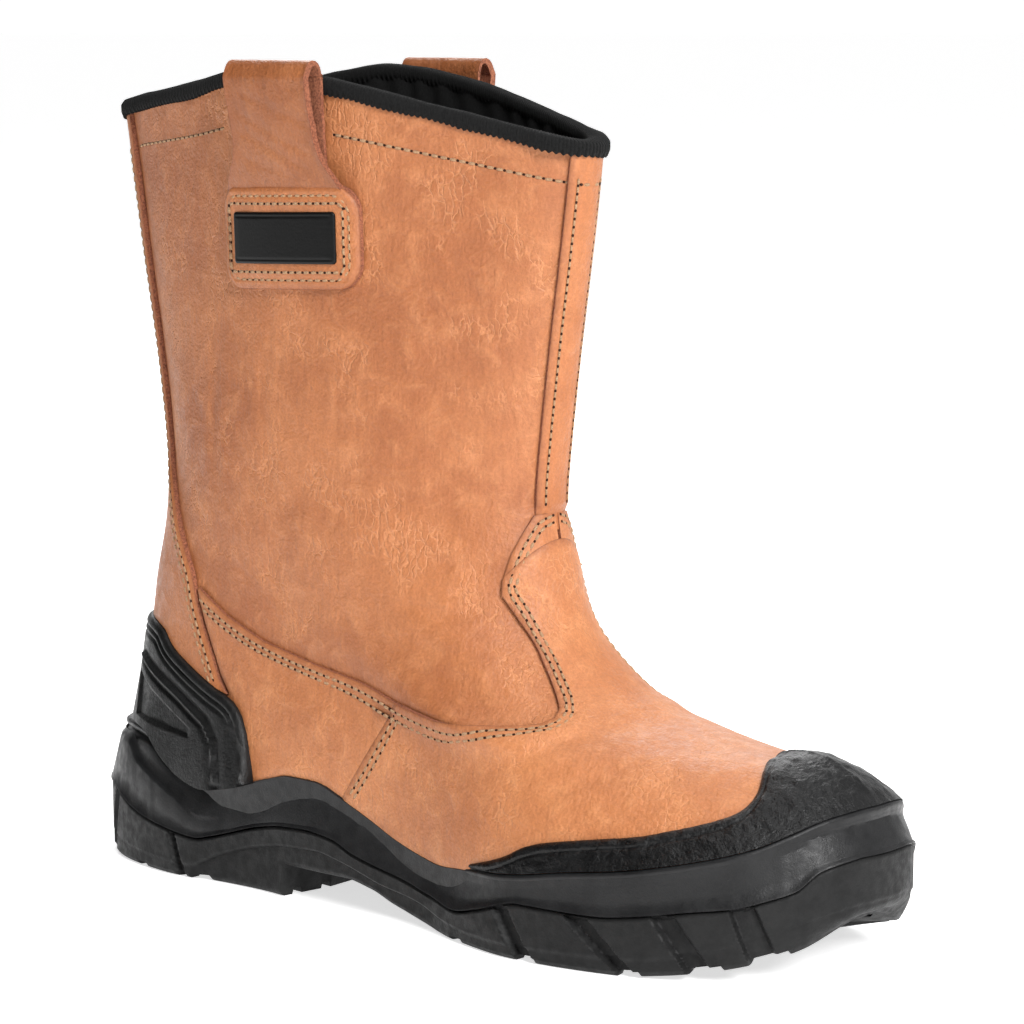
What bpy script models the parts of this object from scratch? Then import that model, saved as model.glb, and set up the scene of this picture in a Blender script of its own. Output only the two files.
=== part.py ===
"""Rigger boot for the right foot: a hollow leather upper on a moulded sole, as closed solids.

Sizes are in millimetres. X points to the outer side of the foot, Y to the toe, Z up. While the shapes are
worked out y = 0 lies near the back of the heel; the last step moves the origin to the middle of the floor.
"""

import bpy
import numpy as np

# Driving sizes
HEEL_Y = -11.0  # rearmost point of the sole
SOLE_LENGTH = 320.5
SHAFT_WALL = 2.2  # leather and lining together
PANEL_STEP = 1.4  # how far vamp and quarter stand over the shaft leather
STRIP_THICK = 2.0
GAP = 0.3  # left between neighbouring pieces
PANEL_LIMIT = 10.5  # girth row above which no lower panel reaches

BINDING_OUT = 1.5
BINDING_TALL = 4.0
BINDING_OVER = 1.4

LOOP_WIDTH = 36.0
LOOP_LEATHER = 1.8
LOOP_Y = {1: 97.0, -1: 103.5}  # middle of the patch on the outer and on the inner side
PATCH_Z = 221.0
LOOP_LEAN = 0.035  # backward lean of the strap, as a slope
LOOP_TOP = 279.5
PATCH_SIZE = (60.0, 34.0)
PATCH_CORNER = 9.0
PATCH_RIM, PATCH_MIDDLE = 2.4, 3.9  # stand-off of the patch at its edge and behind the badge
BADGE_SIZE = (45.0, 17.0)
BADGE_THICK = 0.9

INSOLE_THICK = 4.0
TRAY_FLOOR = 4.5  # midsole under the foot
INTERFACE_INSET = 6.0  # width of the visible parting step between midsole and outsole
GROOVE_DEPTH = 2.6
TREAD_DEPTH = 3.0

COLUMNS = 52  # mesh columns round the upper

# One row per girth line, from the feather line (row 0) up to the collar. Each girth is a closed ring through a
# back and a front point; the shares give its half width at seven places from the back seam to the front seam.
GIRTH_PLACES = (0.0, 0.25, 0.5, 0.62, 0.75, 0.87, 1.0)
GIRTHS = (
    # back_y, back_z, front_y, front_z, widths at GIRTH_PLACES,            side_lift, bed, swing
    (10.5, 28.0, 297.0, 31.0, 66.0, 46.0, 38.0, 53.0, 62.0, 74.0, 80.0, 0.0, 1.0, 1.0),
    (9.6, 40.0, 300.0, 42.0, 67.0, 47.5, 38.5, 53.0, 61.0, 71.0, 79.0, 0.0, 0.85, 1.0),
    (9.2, 54.0, 295.0, 52.0, 64.0, 46.5, 37.5, 48.5, 53.0, 58.0, 60.0, 0.0, 0.5, 1.0),
    (9.6, 68.0, 283.0, 59.5, 60.0, 45.0, 35.5, 43.5, 40.0, 38.0, 40.0, 0.0, 0.2, 1.0),
    (10.3, 82.0, 266.5, 61.4, 55.0, 43.5, 34.0, 44.0, 35.0, 28.0, 28.0, 0.0, 0.05, 1.0),
    (11.2, 92.0, 244.0, 64.4, 50.0, 42.0, 33.0, 41.0, 40.0, 34.0, 31.0, 0.0, 0.0, 1.0),
    (12.6, 103.0, 220.5, 71.2, 45.0, 41.0, 33.0, 38.0, 42.0, 42.0, 41.0, 0.0, 0.0, 0.9),
    (14.8, 113.0, 201.0, 84.5, 41.0, 40.0, 33.5, 36.0, 42.0, 44.0, 44.0, 0.0, 0.0, 0.7),
    (16.2, 122.0, 190.0, 98.5, 38.0, 39.5, 34.5, 36.0, 39.0, 40.0, 41.0, 0.0, 0.0, 0.5),
    (16.7, 131.0, 185.5, 114.0, 36.0, 39.0, 35.5, 36.0, 36.0, 37.0, 38.0, 0.0, 0.0, 0.3),
    (16.4, 141.0, 181.8, 131.0, 35.0, 38.0, 36.0, 35.5, 34.0, 34.5, 36.0, 0.0, 0.0, 0.1),
    (14.9, 152.0, 182.0, 147.0, 34.0, 37.0, 36.0, 35.0, 33.0, 33.0, 34.0, 0.5, 0.0, 0.0),
    (11.0, 173.0, 185.3, 173.0, 33.0, 34.5, 35.0, 34.0, 31.0, 31.5, 33.0, 2.0, 0.0, 0.0),
    (5.4, 199.0, 188.7, 197.0, 32.5, 32.0, 34.0, 33.0, 30.0, 31.0, 32.5, 6.0, 0.0, 0.0),
    (-0.8, 229.5, 193.0, 226.0, 32.5, 30.5, 34.0, 32.5, 29.0, 31.0, 32.5, 11.0, 0.0, 0.0),
    (-6.3, 261.0, 196.5, 253.0, 32.0, 30.0, 34.0, 32.5, 29.0, 30.5, 32.0, 18.0, 0.0, 0.0),
)
TOP_ROW = len(GIRTHS) - 1.0
UPPER_ROWS = (0, 0.7, 1.3, 2, 2.6, 3.2, 4, 5, 6, 6.8, 7.6, 8.4, 9.2, 10, 10.6, 11.4, 13, 15)

# How the collar rises from its ends to the pull loops: share of the way from back to front, share of side_lift
RIM_RISE = (
    (0, 0), (0.06, 0.2), (0.15, 0.38), (0.27, 0.63), (0.36, 0.87), (0.44, 1), (0.5, 0.98), (0.6, 0.86),
    (0.69, 0.7), (0.78, 0.51), (0.86, 0.34), (0.93, 0.18), (1, 0),
)  # fmt: skip

# Height of the bed the foot stands on, and how the foot's midline swings sideways: y, value
BED = ((-11, 28), (10, 28), (60, 27.5), (100, 25.5), (140, 21), (180, 16.5), (215, 16.5), (250, 19.5), (280, 25), (300, 29.5))
SWING = ((-11, 0), (35, 1.5), (80, 3), (110, 4), (148, 3), (207, 1), (261, -2.5), (294, -6), (308, -7))

# Half width of the sole at places from heel to toe: share of half a turn, width share
SOLE_WIDTHS = ((0, 78), (0.25, 54), (0.38, 41), (0.5, 41), (0.62, 59.5), (0.75, 70), (0.87, 80.5), (1, 89))
SOLE_STATIONS = (
    -11, -10, -7, -2, 6, 15, 25, 36, 46, 53, 58, 63, 72, 83, 94, 96.5, 104, 114, 124, 135, 147, 160,
    172, 182, 195, 208, 221, 235, 249, 261, 272, 281, 289, 296, 302, 306, 308.6, 309.5,
)  # fmt: skip

# Side view lines of the sole: y, z
PARTING = (
    (-11, 26), (5, 25.6), (12, 23.6), (23, 19.9), (41, 16.6), (57, 14.9), (62, 15.9), (72, 18.7), (85, 22.5),
    (99, 25.1), (112, 25.8), (123, 24.5), (133, 20.7), (152, 16.2), (172, 12.2), (181, 10.8), (195, 13.9),
    (206, 17.4), (213, 18.8), (241, 18.4), (256, 20), (270, 22.4), (283, 24.2), (291, 26.8), (297, 29.5),
    (302, 35.4), (308, 38.6),
)  # fmt: skip
WEDGE = ((-11, 41), (15, 42), (22, 36.6), (32, 32.9), (46, 27.4), (58, 21.5), (72, 22.5), (112, 29.5), (308, 42))
MIDSOLE_TOP = (
    (-11, 47.5), (13, 49), (27, 48), (38, 42), (53, 36.6), (63, 35.4), (77, 37.6), (90, 41), (101, 43.3),
    (112, 43), (125, 38.6), (138, 33.3), (149, 28.9), (160, 26), (172, 24.3), (182, 25), (193, 25.8), (210, 27.5),
    (229, 30.6), (249, 33.3), (263, 35.9), (277, 39.2), (288, 42.6), (296, 46.4), (304, 50.6), (309, 52.3),
)  # fmt: skip
MIDSOLE_TOP_IN = ((-11, 7), (10, 4.5), (30, 3.6), (60, 3.4), (176, 3.4), (190, 2.4), (207, 0.8), (280, 1.0), (297, 3), (309, 4.5))
WEDGE_OUT = ((-11, -4.5), (-4, -3.5), (15, -1.6), (40, -0.4), (62, 0), (300, 0), (309, -1))
CREASE_IN = ((-11, 6), (-4, 5), (15, 3.2), (45, 1.6), (62, 0.2), (100, 0.6), (290, 0.4), (309, 1.6))
ARCH_RIM = (
    (-11, 9), (30, 5.5), (52, 5), (66, 10.5), (82, 15.5), (100, 18.8), (115, 19.5), (127, 17.4), (146, 12),
    (163, 9), (175, 6), (190, 5), (250, 6), (280, 12), (308, 24),
)  # fmt: skip
ARCH_RECESS = ((-11, 0.2), (20, 0.5), (53, 0.7), (60, 2.6), (164, 2.8), (178, 0.9), (309, 0.8))
BOTTOM = (
    (-11, 4.5), (-4, 1.6), (5, 0), (94.5, 0), (96.5, 11), (124, 11), (138, 8.6), (147, 5.2), (160, 1.5),
    (169, 0), (247, 0), (262, 1.4), (276, 3.6), (290, 7), (300, 10.5), (309, 17),
)  # fmt: skip

# Slanted side grooves: y of both edges at the parting line, then at the floor
GROOVES = ((200.5, 207.5, 212.0, 218.5), (229.0, 237.0, 249.5, 255.0), (258.0, 265.5, 272.0, 279.5), (281.0, 287.5, 289.0, 296.5))

CHANNELS = ((178.0, 183.5), (53.0, 60.5), (24.0, 29.0))  # tread channels without a side groove: y of both edges

# Upper edge of vamp and quarter in side view, from the front of the ankle to the backstay: y, z
PANEL_EDGE = (
    (230, 135.6), (186, 135.4), (179.5, 133.2), (178.2, 128.6), (176.4, 121.5), (175.4, 112.8), (175.8, 108),
    (182, 99.4), (191.8, 87.3), (199.6, 78.5), (203.3, 74.3), (204.1, 71.5), (202, 70), (194.2, 69.2),
    (181, 68.9), (168, 69.5), (147, 72.6), (130.5, 76.8), (110.6, 80.2), (85.7, 85.6), (67.4, 92.6), (50, 101.4),
    (40, 107),
)  # fmt: skip
# Edge of the backstay: girth row, share of half a turn from the back seam
BACKSTAY = (
    (2.6, 0.325), (3.35, 0.303), (4.3, 0.294), (5.6, 0.289), (6.6, 0.283), (7.2, 0.268), (8, 0.24), (8.8, 0.213),
    (9.9, 0.175), (11.3, 0.155), (12.8, 0.135), (15, 0.12),
)  # fmt: skip
FRONT_STRIP_HALF = 7.6

# Upper edges of heel counter and toe bumper: share of half a turn from the heel, girth row
COUNTER_EDGE = (
    (0, 4.35), (0.15, 4.4), (0.19, 4.3), (0.217, 3.87), (0.26, 3.47), (0.298, 3.1), (0.322, 2.85), (0.333, 2.45),
    (0.337, 1.9), (0.3395, 1.2),
)  # fmt: skip
COUNTER_COLUMNS = (0, 0.04, 0.08, 0.12, 0.155, 0.185, 0.215, 0.24, 0.27, 0.298, 0.318, 0.33, 0.3395)
BUMPER_EDGE = (
    (0.575, 0.78), (0.58, 0.82), (0.61, 1.1), (0.63, 1.35), (0.648, 1.48), (0.693, 1.6), (0.725, 1.65), (0.757, 1.75),
    (0.804, 1.92), (0.83, 2.07), (0.848, 2.3), (0.858, 2.49), (0.886, 3.12), (0.931, 3.64), (1, 3.9),
)  # fmt: skip
BUMPER_COLUMNS = (0.578, 0.61, 0.645, 0.69, 0.73, 0.77, 0.805, 0.835, 0.858, 0.874, 0.89, 0.91, 0.935, 0.965, 1)
COUNTER_FLARE = 3.4
COUNTER_THICK = 2.8
BUMPER_THICK = 2.4
BUMPER_BULGE = 3.6


# Colour, roughness and metallic value of each material
LOOKS = {
    "tan_leather": ((0.49, 0.21, 0.11, 1.0), 0.5, 0.0),
    "binding_tape": ((0.014, 0.013, 0.013, 1.0), 0.85, 0.0),
    "black_plate": ((0.012, 0.012, 0.012, 1.0), 0.35, 0.0),
    "black_rubber": ((0.02, 0.02, 0.022, 1.0), 0.62, 0.0),
    "insole_felt": ((0.03, 0.027, 0.025, 1.0), 0.95, 0.0),
}


def clear_scene():
    for obj in list(bpy.data.objects):
        bpy.data.objects.remove(obj, do_unlink=True)


def collection(name):
    found = bpy.data.collections.get(name)
    if found is None:
        found = bpy.data.collections.new(name)
        bpy.context.scene.collection.children.link(found)
    return found


def paint(obj, look):
    """Gives the object its own material in one of the looks."""
    colour, roughness, metallic = LOOKS[look]
    material = bpy.data.materials.new(obj.name)
    material.use_nodes = True
    shader = material.node_tree.nodes["Principled BSDF"]
    shader.inputs["Base Color"].default_value = colour
    shader.inputs["Roughness"].default_value = roughness
    shader.inputs["Metallic"].default_value = metallic
    obj.data.materials.append(material)
    obj.data.shade_smooth()
    obj.data.set_sharp_from_angle(angle=0.6)


def table(rows):
    """A smooth, never overshooting curve through (place, value) rows."""
    xs, ys = np.array(rows, float).T
    step = np.diff(xs)
    slope = np.diff(ys) / step
    left, right = slope[:-1], slope[1:]
    weight_left, weight_right = 2 * step[1:] + step[:-1], step[1:] + 2 * step[:-1]
    same = left * right > 0
    inner = np.zeros(len(left))
    inner[same] = ((weight_left + weight_right)[same]) / (
        weight_left[same] / left[same] + weight_right[same] / right[same]
    )
    tangent = np.concatenate([slope[:1], inner, slope[-1:]])

    def value(x):
        x = np.clip(np.asarray(x, float), xs[0], xs[-1])
        i = np.clip(np.searchsorted(xs, x, side="right") - 1, 0, len(step) - 1)
        t = (x - xs[i]) / step[i]
        return (
            ys[i] * (1 + 2 * t) * (1 - t) ** 2
            + ys[i + 1] * t * t * (3 - 2 * t)
            + step[i] * t * (1 - t) * (tangent[i] * (1 - t) - tangent[i + 1] * t)
        )

    return value


def spline(rows):
    """A natural cubic spline through equally spaced rows, for any number of columns."""
    rows = np.array(rows, float)
    count = len(rows)
    system = 4 * np.eye(count) + np.eye(count, k=1) + np.eye(count, k=-1)
    system[0, :2] = system[-1, [-1, -2]] = (1, 0)
    bend = np.zeros_like(rows)
    bend[1:-1] = 6 * (rows[2:] - 2 * rows[1:-1] + rows[:-2])
    bend = np.linalg.solve(system, bend)

    def value(place):
        place = np.asarray(place, float)
        i = np.clip(np.floor(place).astype(int), 0, count - 2)
        t = (place - i)[..., None]
        s = 1 - t
        return s * rows[i] + t * rows[i + 1] + ((s**3 - s) * bend[i] + (t**3 - t) * bend[i + 1]) / 6

    return value


girth_row = spline(GIRTHS)
bed = table(BED)
swing = table(SWING)
rim_rise = table(RIM_RISE)


def girth_width(turn, widths):
    """Width share at a turn (0 back seam, pi front seam), by a cubic through the row's seven widths."""
    places = np.pi * np.array(GIRTH_PLACES)
    i = np.clip(np.searchsorted(places, turn, side="right") - 1, 0, len(places) - 2)
    step = np.diff(places)
    slope = np.diff(widths, axis=-1) / step
    inner = (slope[..., :-1] * step[1:] + slope[..., 1:] * step[:-1]) / (step[1:] + step[:-1])
    ends = np.zeros_like(inner[..., :1])
    tangent = np.concatenate([ends, inner, ends], axis=-1)

    def pick(values, index):
        return np.take_along_axis(values, index[..., None], axis=-1)[..., 0]

    t = (turn - places[i]) / step[i]
    return (
        pick(widths, i) * (1 + 2 * t) * (1 - t) ** 2
        + pick(widths, i + 1) * t * t * (3 - 2 * t)
        + step[i] * t * (1 - t) * (pick(tangent, i) * (1 - t) - pick(tangent, i + 1) * t)
    )


def skin(turn, row):
    """Points of the upper's outer skin. turn runs 0..2 pi from the back seam round the outer side."""
    turn, row = np.broadcast_arrays(np.asarray(turn, float), np.asarray(row, float))
    values = girth_row(row)
    back_y, back_z, front_y, front_z = (values[..., i] for i in range(4))
    lift, sag, sway = (values[..., i] for i in (11, 12, 13))
    folded = np.where(turn > np.pi, 2 * np.pi - turn, turn)
    folded = np.clip(np.abs(folded), 0, np.pi)
    along = (1 - np.cos(turn)) / 2
    y = back_y + (front_y - back_y) * along
    flat_z = back_z + (front_z - back_z) * along
    z = flat_z + lift * rim_rise(along) + sag * (bed(y) - 28 - 3 * along)
    x = np.sin(turn) * girth_width(folded, values[..., 4:11]) + sway * swing(y)
    return np.stack([x, y, z], axis=-1)


def skin_out(turn, row, out):
    """Points that stand off the skin by out, measured square to it."""
    turn, row = np.broadcast_arrays(np.asarray(turn, float), np.asarray(row, float))
    d = 1e-3
    low, high = np.maximum(row - d, 0), np.minimum(row + d, TOP_ROW)
    round_it = skin(turn + d, row) - skin(turn - d, row)
    up_it = skin(turn, high) - skin(turn, low)
    normal = np.cross(round_it, up_it)
    normal /= np.linalg.norm(normal, axis=-1, keepdims=True)
    return skin(turn, row) + np.asarray(out, float)[..., None] * normal


def row_at_height(turn, z, top=6.0):
    """Girth row at which the skin reaches height z in each column."""
    low = np.zeros_like(turn)
    high = np.full_like(turn, top)
    for _ in range(40):
        middle = (low + high) / 2
        under = skin(turn, middle)[..., 2] < z
        low, high = np.where(under, middle, low), np.where(under, high, middle)
    return low


def place_on_side(y, z):
    """Turn and girth row of the outer side at side-view place y, z; heights over the rim stop at the rim."""
    y, z = np.broadcast_arrays(np.asarray(y, float), np.asarray(z, float))
    low, high = np.zeros_like(y), np.full_like(y, TOP_ROW)

    def turn_of(row):
        values = girth_row(row)
        along = (y - values[..., 0]) / (values[..., 2] - values[..., 0])
        return np.arccos(np.clip(1 - 2 * along, -1, 1))

    for _ in range(40):
        middle = (low + high) / 2
        under = skin(turn_of(middle), middle)[..., 2] < z
        low, high = np.where(under, middle, low), np.where(under, high, middle)
    return turn_of(low), low


def turn_for_arc(rows, arc):
    """Turns that lie arc millimetres round from the front seam, towards the outer side."""
    probe = np.linspace(0, 0.9, 46)
    points = skin(np.pi - probe[None, :], np.asarray(rows, float)[:, None])
    run = np.cumsum(np.linalg.norm(np.diff(points, axis=1), axis=-1), axis=1)
    run = np.concatenate([np.zeros((len(run), 1)), run], axis=1)
    found = np.array([np.interp(np.abs(arc), line, probe) for line in run])
    return np.pi - found * np.sign(arc)


def sole_edge(stations, out=0.0):
    """The sole's outline as a ring at the stations: heel, outer side, toe, inner side. out grows it."""
    share = (np.asarray(stations, float) - HEEL_Y) / SOLE_LENGTH
    turn = np.arccos(np.clip(1 - 2 * share, -1, 1))
    ring_turn = np.concatenate([turn, 2 * np.pi - turn[-2:0:-1]])

    def outline(t):
        along = (1 - np.cos(t)) / 2
        y = HEEL_Y + SOLE_LENGTH * along
        folded = np.where(t > np.pi, 2 * np.pi - t, np.abs(t))
        x = np.sin(t) * table(SOLE_WIDTHS)(folded / np.pi) + swing(y)
        return np.stack([x, y], axis=-1)

    tangent = outline(ring_turn + 1e-3) - outline(ring_turn - 1e-3)
    tangent /= np.linalg.norm(tangent, axis=-1, keepdims=True)
    normal = np.stack([tangent[:, 1], -tangent[:, 0]], axis=-1)
    return outline(ring_turn) + np.broadcast_to(out, ring_turn.shape)[:, None] * normal


def faces_outward(points, faces):
    """The faces of one closed solid, turned round if they point inwards."""
    volume = 0.0
    for face in faces:
        for a, b in zip(face[1:-1], face[2:]):
            volume += np.linalg.det(points[[face[0], a, b]])
    return faces if volume > 0 else [face[::-1] for face in faces]


def make_object(name, points, faces, cutter=False):
    points = np.asarray(points, float)
    faces = faces_outward(points, [tuple(map(int, face)) for face in faces])
    mesh = bpy.data.meshes.new(name)
    mesh.from_pydata((points / 1000).tolist(), [], faces)
    mesh.validate()
    obj = bpy.data.objects.new(name, mesh)
    collection("cutters" if cutter else "rigger_boot").objects.link(obj)
    if cutter:
        obj.hide_render = True
        obj.display_type = "WIRE"
    return obj


def slab(name, outer, inner, wrap=False, cutter=False):
    """A solid between two grids of points. Axis 0 may close on itself; the open edges get walls."""
    m, n = outer.shape[:2]
    points = np.concatenate([outer.reshape(-1, 3), inner.reshape(-1, 3)])
    under = m * n
    faces = []
    for i in range(m if wrap else m - 1):
        k = (i + 1) % m
        for j in range(n - 1):
            a, b, c, d = i * n + j, k * n + j, k * n + j + 1, i * n + j + 1
            faces.append((a, b, c, d))
            faces.append((under + d, under + c, under + b, under + a))
        for j, flip in ((0, False), (n - 1, True)):
            a, b = i * n + j, k * n + j
            wall = (b, a, under + a, under + b)
            faces.append(wall[::-1] if flip else wall)
    if not wrap:
        for j in range(n - 1):
            a, b = j, j + 1
            faces.append((a, b, under + b, under + a))
            a, b = (m - 1) * n + j, (m - 1) * n + j + 1
            faces.append((b, a, under + a, under + b))
    return make_object(name, points, faces, cutter)


def tube_ring(name, sections):
    """A closed ring from closed sections: axis 0 runs round the ring, axis 1 round the section."""
    m, n = sections.shape[:2]
    faces = []
    for i in range(m):
        k = (i + 1) % m
        for j in range(n):
            l = (j + 1) % n
            faces.append((i * n + j, k * n + j, k * n + l, i * n + l))
    return make_object(name, sections.reshape(-1, 3), faces)


def stack(name, rings, cutter=False):
    """A solid from rings that each run heel, outer side, toe, inner side; both ends close across the width."""
    rings = np.array(rings)
    count, n = rings.shape[:2]
    faces = []
    for i in range(count - 1):
        for j in range(n):
            k = (j + 1) % n
            a, b, c, d = i * n + j, i * n + k, (i + 1) * n + k, (i + 1) * n + j
            faces += [(a, b, c), (a, c, d)]
    last = (count - 1) * n
    for j in range(n // 2):
        near, far = (n - j) % n, n - j - 1
        if j == 0:
            bottom = (0, far, 1)
        elif j + 1 == far:
            bottom = (j, near, far)
        else:
            bottom = (j, near, far, j + 1)
        faces.append(bottom)
        faces.append(tuple(last + p for p in bottom[::-1]))
    return make_object(name, rings.reshape(-1, 3), faces, cutter)


def boolean(target, operation, other):
    mod = target.modifiers.new(other.name, "BOOLEAN")
    mod.operation = operation
    mod.solver = "EXACT"
    mod.object = other


def side_prism(name, outline, half_width):
    """A cutter that runs straight through the boot from side to side."""
    outline = np.array(outline, float)
    n = len(outline)
    left = np.column_stack([np.full(n, -half_width), outline])
    right = np.column_stack([np.full(n, half_width), outline])
    faces = [tuple(range(n)), tuple(range(2 * n - 1, n - 1, -1))]
    faces += [(i, n + i, n + (i + 1) % n, (i + 1) % n) for i in range(n)]
    return make_object(name, np.concatenate([left, right]), faces, cutter=True)


def ring_turns():
    return np.arange(COLUMNS) * 2 * np.pi / COLUMNS


def counter_row(share):
    return table(COUNTER_EDGE)(share)


def panel_outline():
    """Side-view outline of the raised lower panels; behind the backstay they go on only under the counter."""
    rows = np.linspace(6.35, 3.0, 8)
    turn = np.pi * table(BACKSTAY)(rows)
    stay = skin(turn, rows)[:, 1:] + np.array([1.1, 0.0])
    share = np.array([0.3, 0.26, 0.217, 0.19, 0.1, 0.0])
    under = skin(np.pi * share, counter_row(share) - 0.25)[:, 1:]
    front = [p for p in PANEL_EDGE if p[0] > stay[0][0] + 1]
    return front + stay.tolist() + under.tolist() + [(-30.0, under[-1][1]), (-30.0, -10.0), (330.0, -10.0), (330.0, 135.6)]


def upper():
    """The hollow leather wall with the lower panels as one step in it."""
    turns, rows = np.meshgrid(ring_turns(), UPPER_ROWS, indexing="ij")
    wall = slab("upper", skin_out(turns, rows, np.zeros_like(rows)), skin_out(turns, rows, np.full_like(rows, -SHAFT_WALL)), wrap=True)
    low_rows = [r for r in UPPER_ROWS if r < PANEL_LIMIT] + [PANEL_LIMIT]
    low_rows[0] = 0.05
    turns, rows = np.meshgrid(ring_turns(), low_rows, indexing="ij")
    step = slab("panel_shell", skin_out(turns, rows, np.full_like(rows, PANEL_STEP)), skin_out(turns, rows, np.full_like(rows, -0.8)), wrap=True, cutter=True)
    boolean(step, "INTERSECT", side_prism("panel_cut", panel_outline(), 90))
    boolean(wall, "UNION", step)
    return wall


def collar_binding():
    """Tape folded over the rim; it widens where it crosses the two seam strips."""
    turns = ring_turns()
    ends = np.minimum(np.abs(np.sin(turns / 2)), np.abs(np.cos(turns / 2)))
    over_strip = np.clip((0.27 - ends) / 0.06, 0, 1) * (STRIP_THICK + GAP)
    out = GAP + over_strip
    thick = BINDING_OUT - GAP
    per_mm = 1 / np.linalg.norm(skin(turns, TOP_ROW) - skin(turns, TOP_ROW - 1), axis=-1)
    drop = TOP_ROW - BINDING_TALL * per_mm
    inside = -SHAFT_WALL - GAP

    def at(row, offset, up):
        return skin_out(turns, row, np.broadcast_to(offset, turns.shape)) + np.array([0, 0, up])

    top = np.full_like(turns, TOP_ROW)
    sections = [
        at(drop, out, 0), at(drop, out + thick, 0), at(top, out + thick, 0.2),
        at(top, out + 0.4 * thick, BINDING_OVER), at(top, inside - 0.4 * thick, BINDING_OVER),
        at(top, inside - thick, 0.2), at(drop, inside - thick, 0), at(drop, inside, 0),
        at(top, inside, GAP), at(top, out, GAP),
    ]  # fmt: skip
    return tube_ring("collar_binding", np.stack(sections, axis=1))


def strip_slab(name, turns, rows):
    outer = skin_out(turns, rows, np.full_like(turns, GAP + STRIP_THICK))
    inner = skin_out(turns, rows, np.full_like(turns, GAP + 0.3))
    return slab(name, outer, inner)


def front_strip():
    bottom = row_at_height(np.array([np.pi]), 136.0, top=TOP_ROW)[0]
    rows = np.linspace(bottom, TOP_ROW - 0.03, 10)
    arc = FRONT_STRIP_HALF * np.array([-1.0, -0.5, 0.0, 0.5, 1.0])
    turns = turn_for_arc(rows, arc)
    return strip_slab("front_strip", turns, np.broadcast_to(rows[:, None], turns.shape))


def back_strip():
    """Strip and backstay in one piece; its lower edge runs just over the heel counter."""
    half = np.array([0.12, 0.24, 0.36, 0.48, 0.6, 0.71, 0.81, 0.91, 1])
    across = np.concatenate([-half[::-1], [0.0], half])
    edge = table(BACKSTAY)
    bottom = np.full(across.shape, 3.5)
    for _ in range(40):
        bottom = 0.5 * bottom + 0.5 * (counter_row(np.abs(across) * edge(bottom)) + 0.12)
    t = np.array([0, 0.05, 0.14, 0.24, 0.34, 0.45, 0.6, 0.8, 1.0])
    rows = bottom[None, :] + (TOP_ROW - 0.03 - bottom)[None, :] * t[:, None]
    turns = np.pi * across[None, :] * edge(rows)
    return strip_slab("back_strip", turns, rows)


def shaft_band(y, z, out):
    """Points off the outer side of the shaft at side-view places; over the rim they go straight up."""
    turn, row = place_on_side(y, z)
    points = skin_out(turn, row, np.broadcast_to(out, turn.shape))
    points[..., 1] = y
    points[..., 2] = z
    return points


def mirror_if(points, side):
    return points * np.array([side, 1, 1])


def pull_loop(name, side):
    """A strap folded into a loop, with both ends in its stitched patch."""
    patch_top = PATCH_Z + PATCH_SIZE[1] / 2
    rim = float(skin(np.array(np.pi / 2), np.array(TOP_ROW))[2])
    path = (
        (1.3, patch_top - 9), (1.3, patch_top - 2), (1.9, patch_top + 7), (2.9, rim - 4), (2.9, rim + 2),
        (3.1, LOOP_TOP - 6), (3.9, LOOP_TOP - 2.6), (5.5, LOOP_TOP - 0.9), (7.1, LOOP_TOP - 2.6),
        (7.9, LOOP_TOP - 6), (7.7, rim), (6.4, rim - 9), (3.75, patch_top + 3), (3.05, patch_top - 3),
        (3.0, patch_top - 9),
    )  # fmt: skip
    path = np.array(path)
    run = np.gradient(path, axis=0)
    run /= np.linalg.norm(run, axis=1, keepdims=True)
    left = np.column_stack([-run[:, 1], run[:, 0]]) * LOOP_LEATHER / 2
    across = np.linspace(-0.5, 0.5, 4) * LOOP_WIDTH

    def sheet(line):
        z = np.broadcast_to(line[:, 1:2], (len(line), len(across)))
        y = LOOP_Y[side] - LOOP_LEAN * (z - PATCH_Z) + across[None, :]
        return shaft_band(y, z, np.broadcast_to(line[:, 0:1], z.shape))

    outer, inner = mirror_if(sheet(path + left), side), mirror_if(sheet(path - left), side)
    strap = slab(name, outer, inner)
    boolean(strap, "UNION", patch(name + "_patch", side))
    return strap


def patch_grid(side, size, corner, rows, columns):
    """y, z places of a rounded rectangle round the patch middle."""
    half_w, half_h = size[0] / 2, size[1] / 2
    b = np.array(rows) * half_h
    deep = np.maximum(np.abs(b) - (half_h - corner), 0)
    half = half_w - corner + np.sqrt(np.maximum(corner**2 - deep**2, 0.3))
    a = half[:, None] * np.array(columns)[None, :]
    b = np.broadcast_to(b[:, None], a.shape)
    return LOOP_Y[side] + a - LOOP_LEAN * b, PATCH_Z + b + LOOP_LEAN * a


def patch(name, side):
    rows = (-1, -0.95, -0.74, -0.3, 0.3, 0.74, 0.95, 1)
    columns = (-1, -0.82, -0.4, 0, 0.4, 0.82, 1)
    y, z = patch_grid(side, PATCH_SIZE, PATCH_CORNER, rows, columns)
    edge = np.ones(y.shape)
    edge[2:-2, 1:-1] = 0
    stand_off = PATCH_MIDDLE + (PATCH_RIM - PATCH_MIDDLE) * edge
    outer = mirror_if(shaft_band(y, z, stand_off), side)
    inner = mirror_if(shaft_band(y, z, GAP), side)
    return slab(name, outer, inner, cutter=True)


def badge():
    y, z = patch_grid(1, BADGE_SIZE, 1.0, (-1, 0, 1), (-1, -0.5, 0, 0.5, 1))
    outer = shaft_band(y, z, PATCH_MIDDLE + GAP + BADGE_THICK)
    inner = shaft_band(y, z, PATCH_MIDDLE + GAP)
    return slab("badge", outer, inner)


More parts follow.
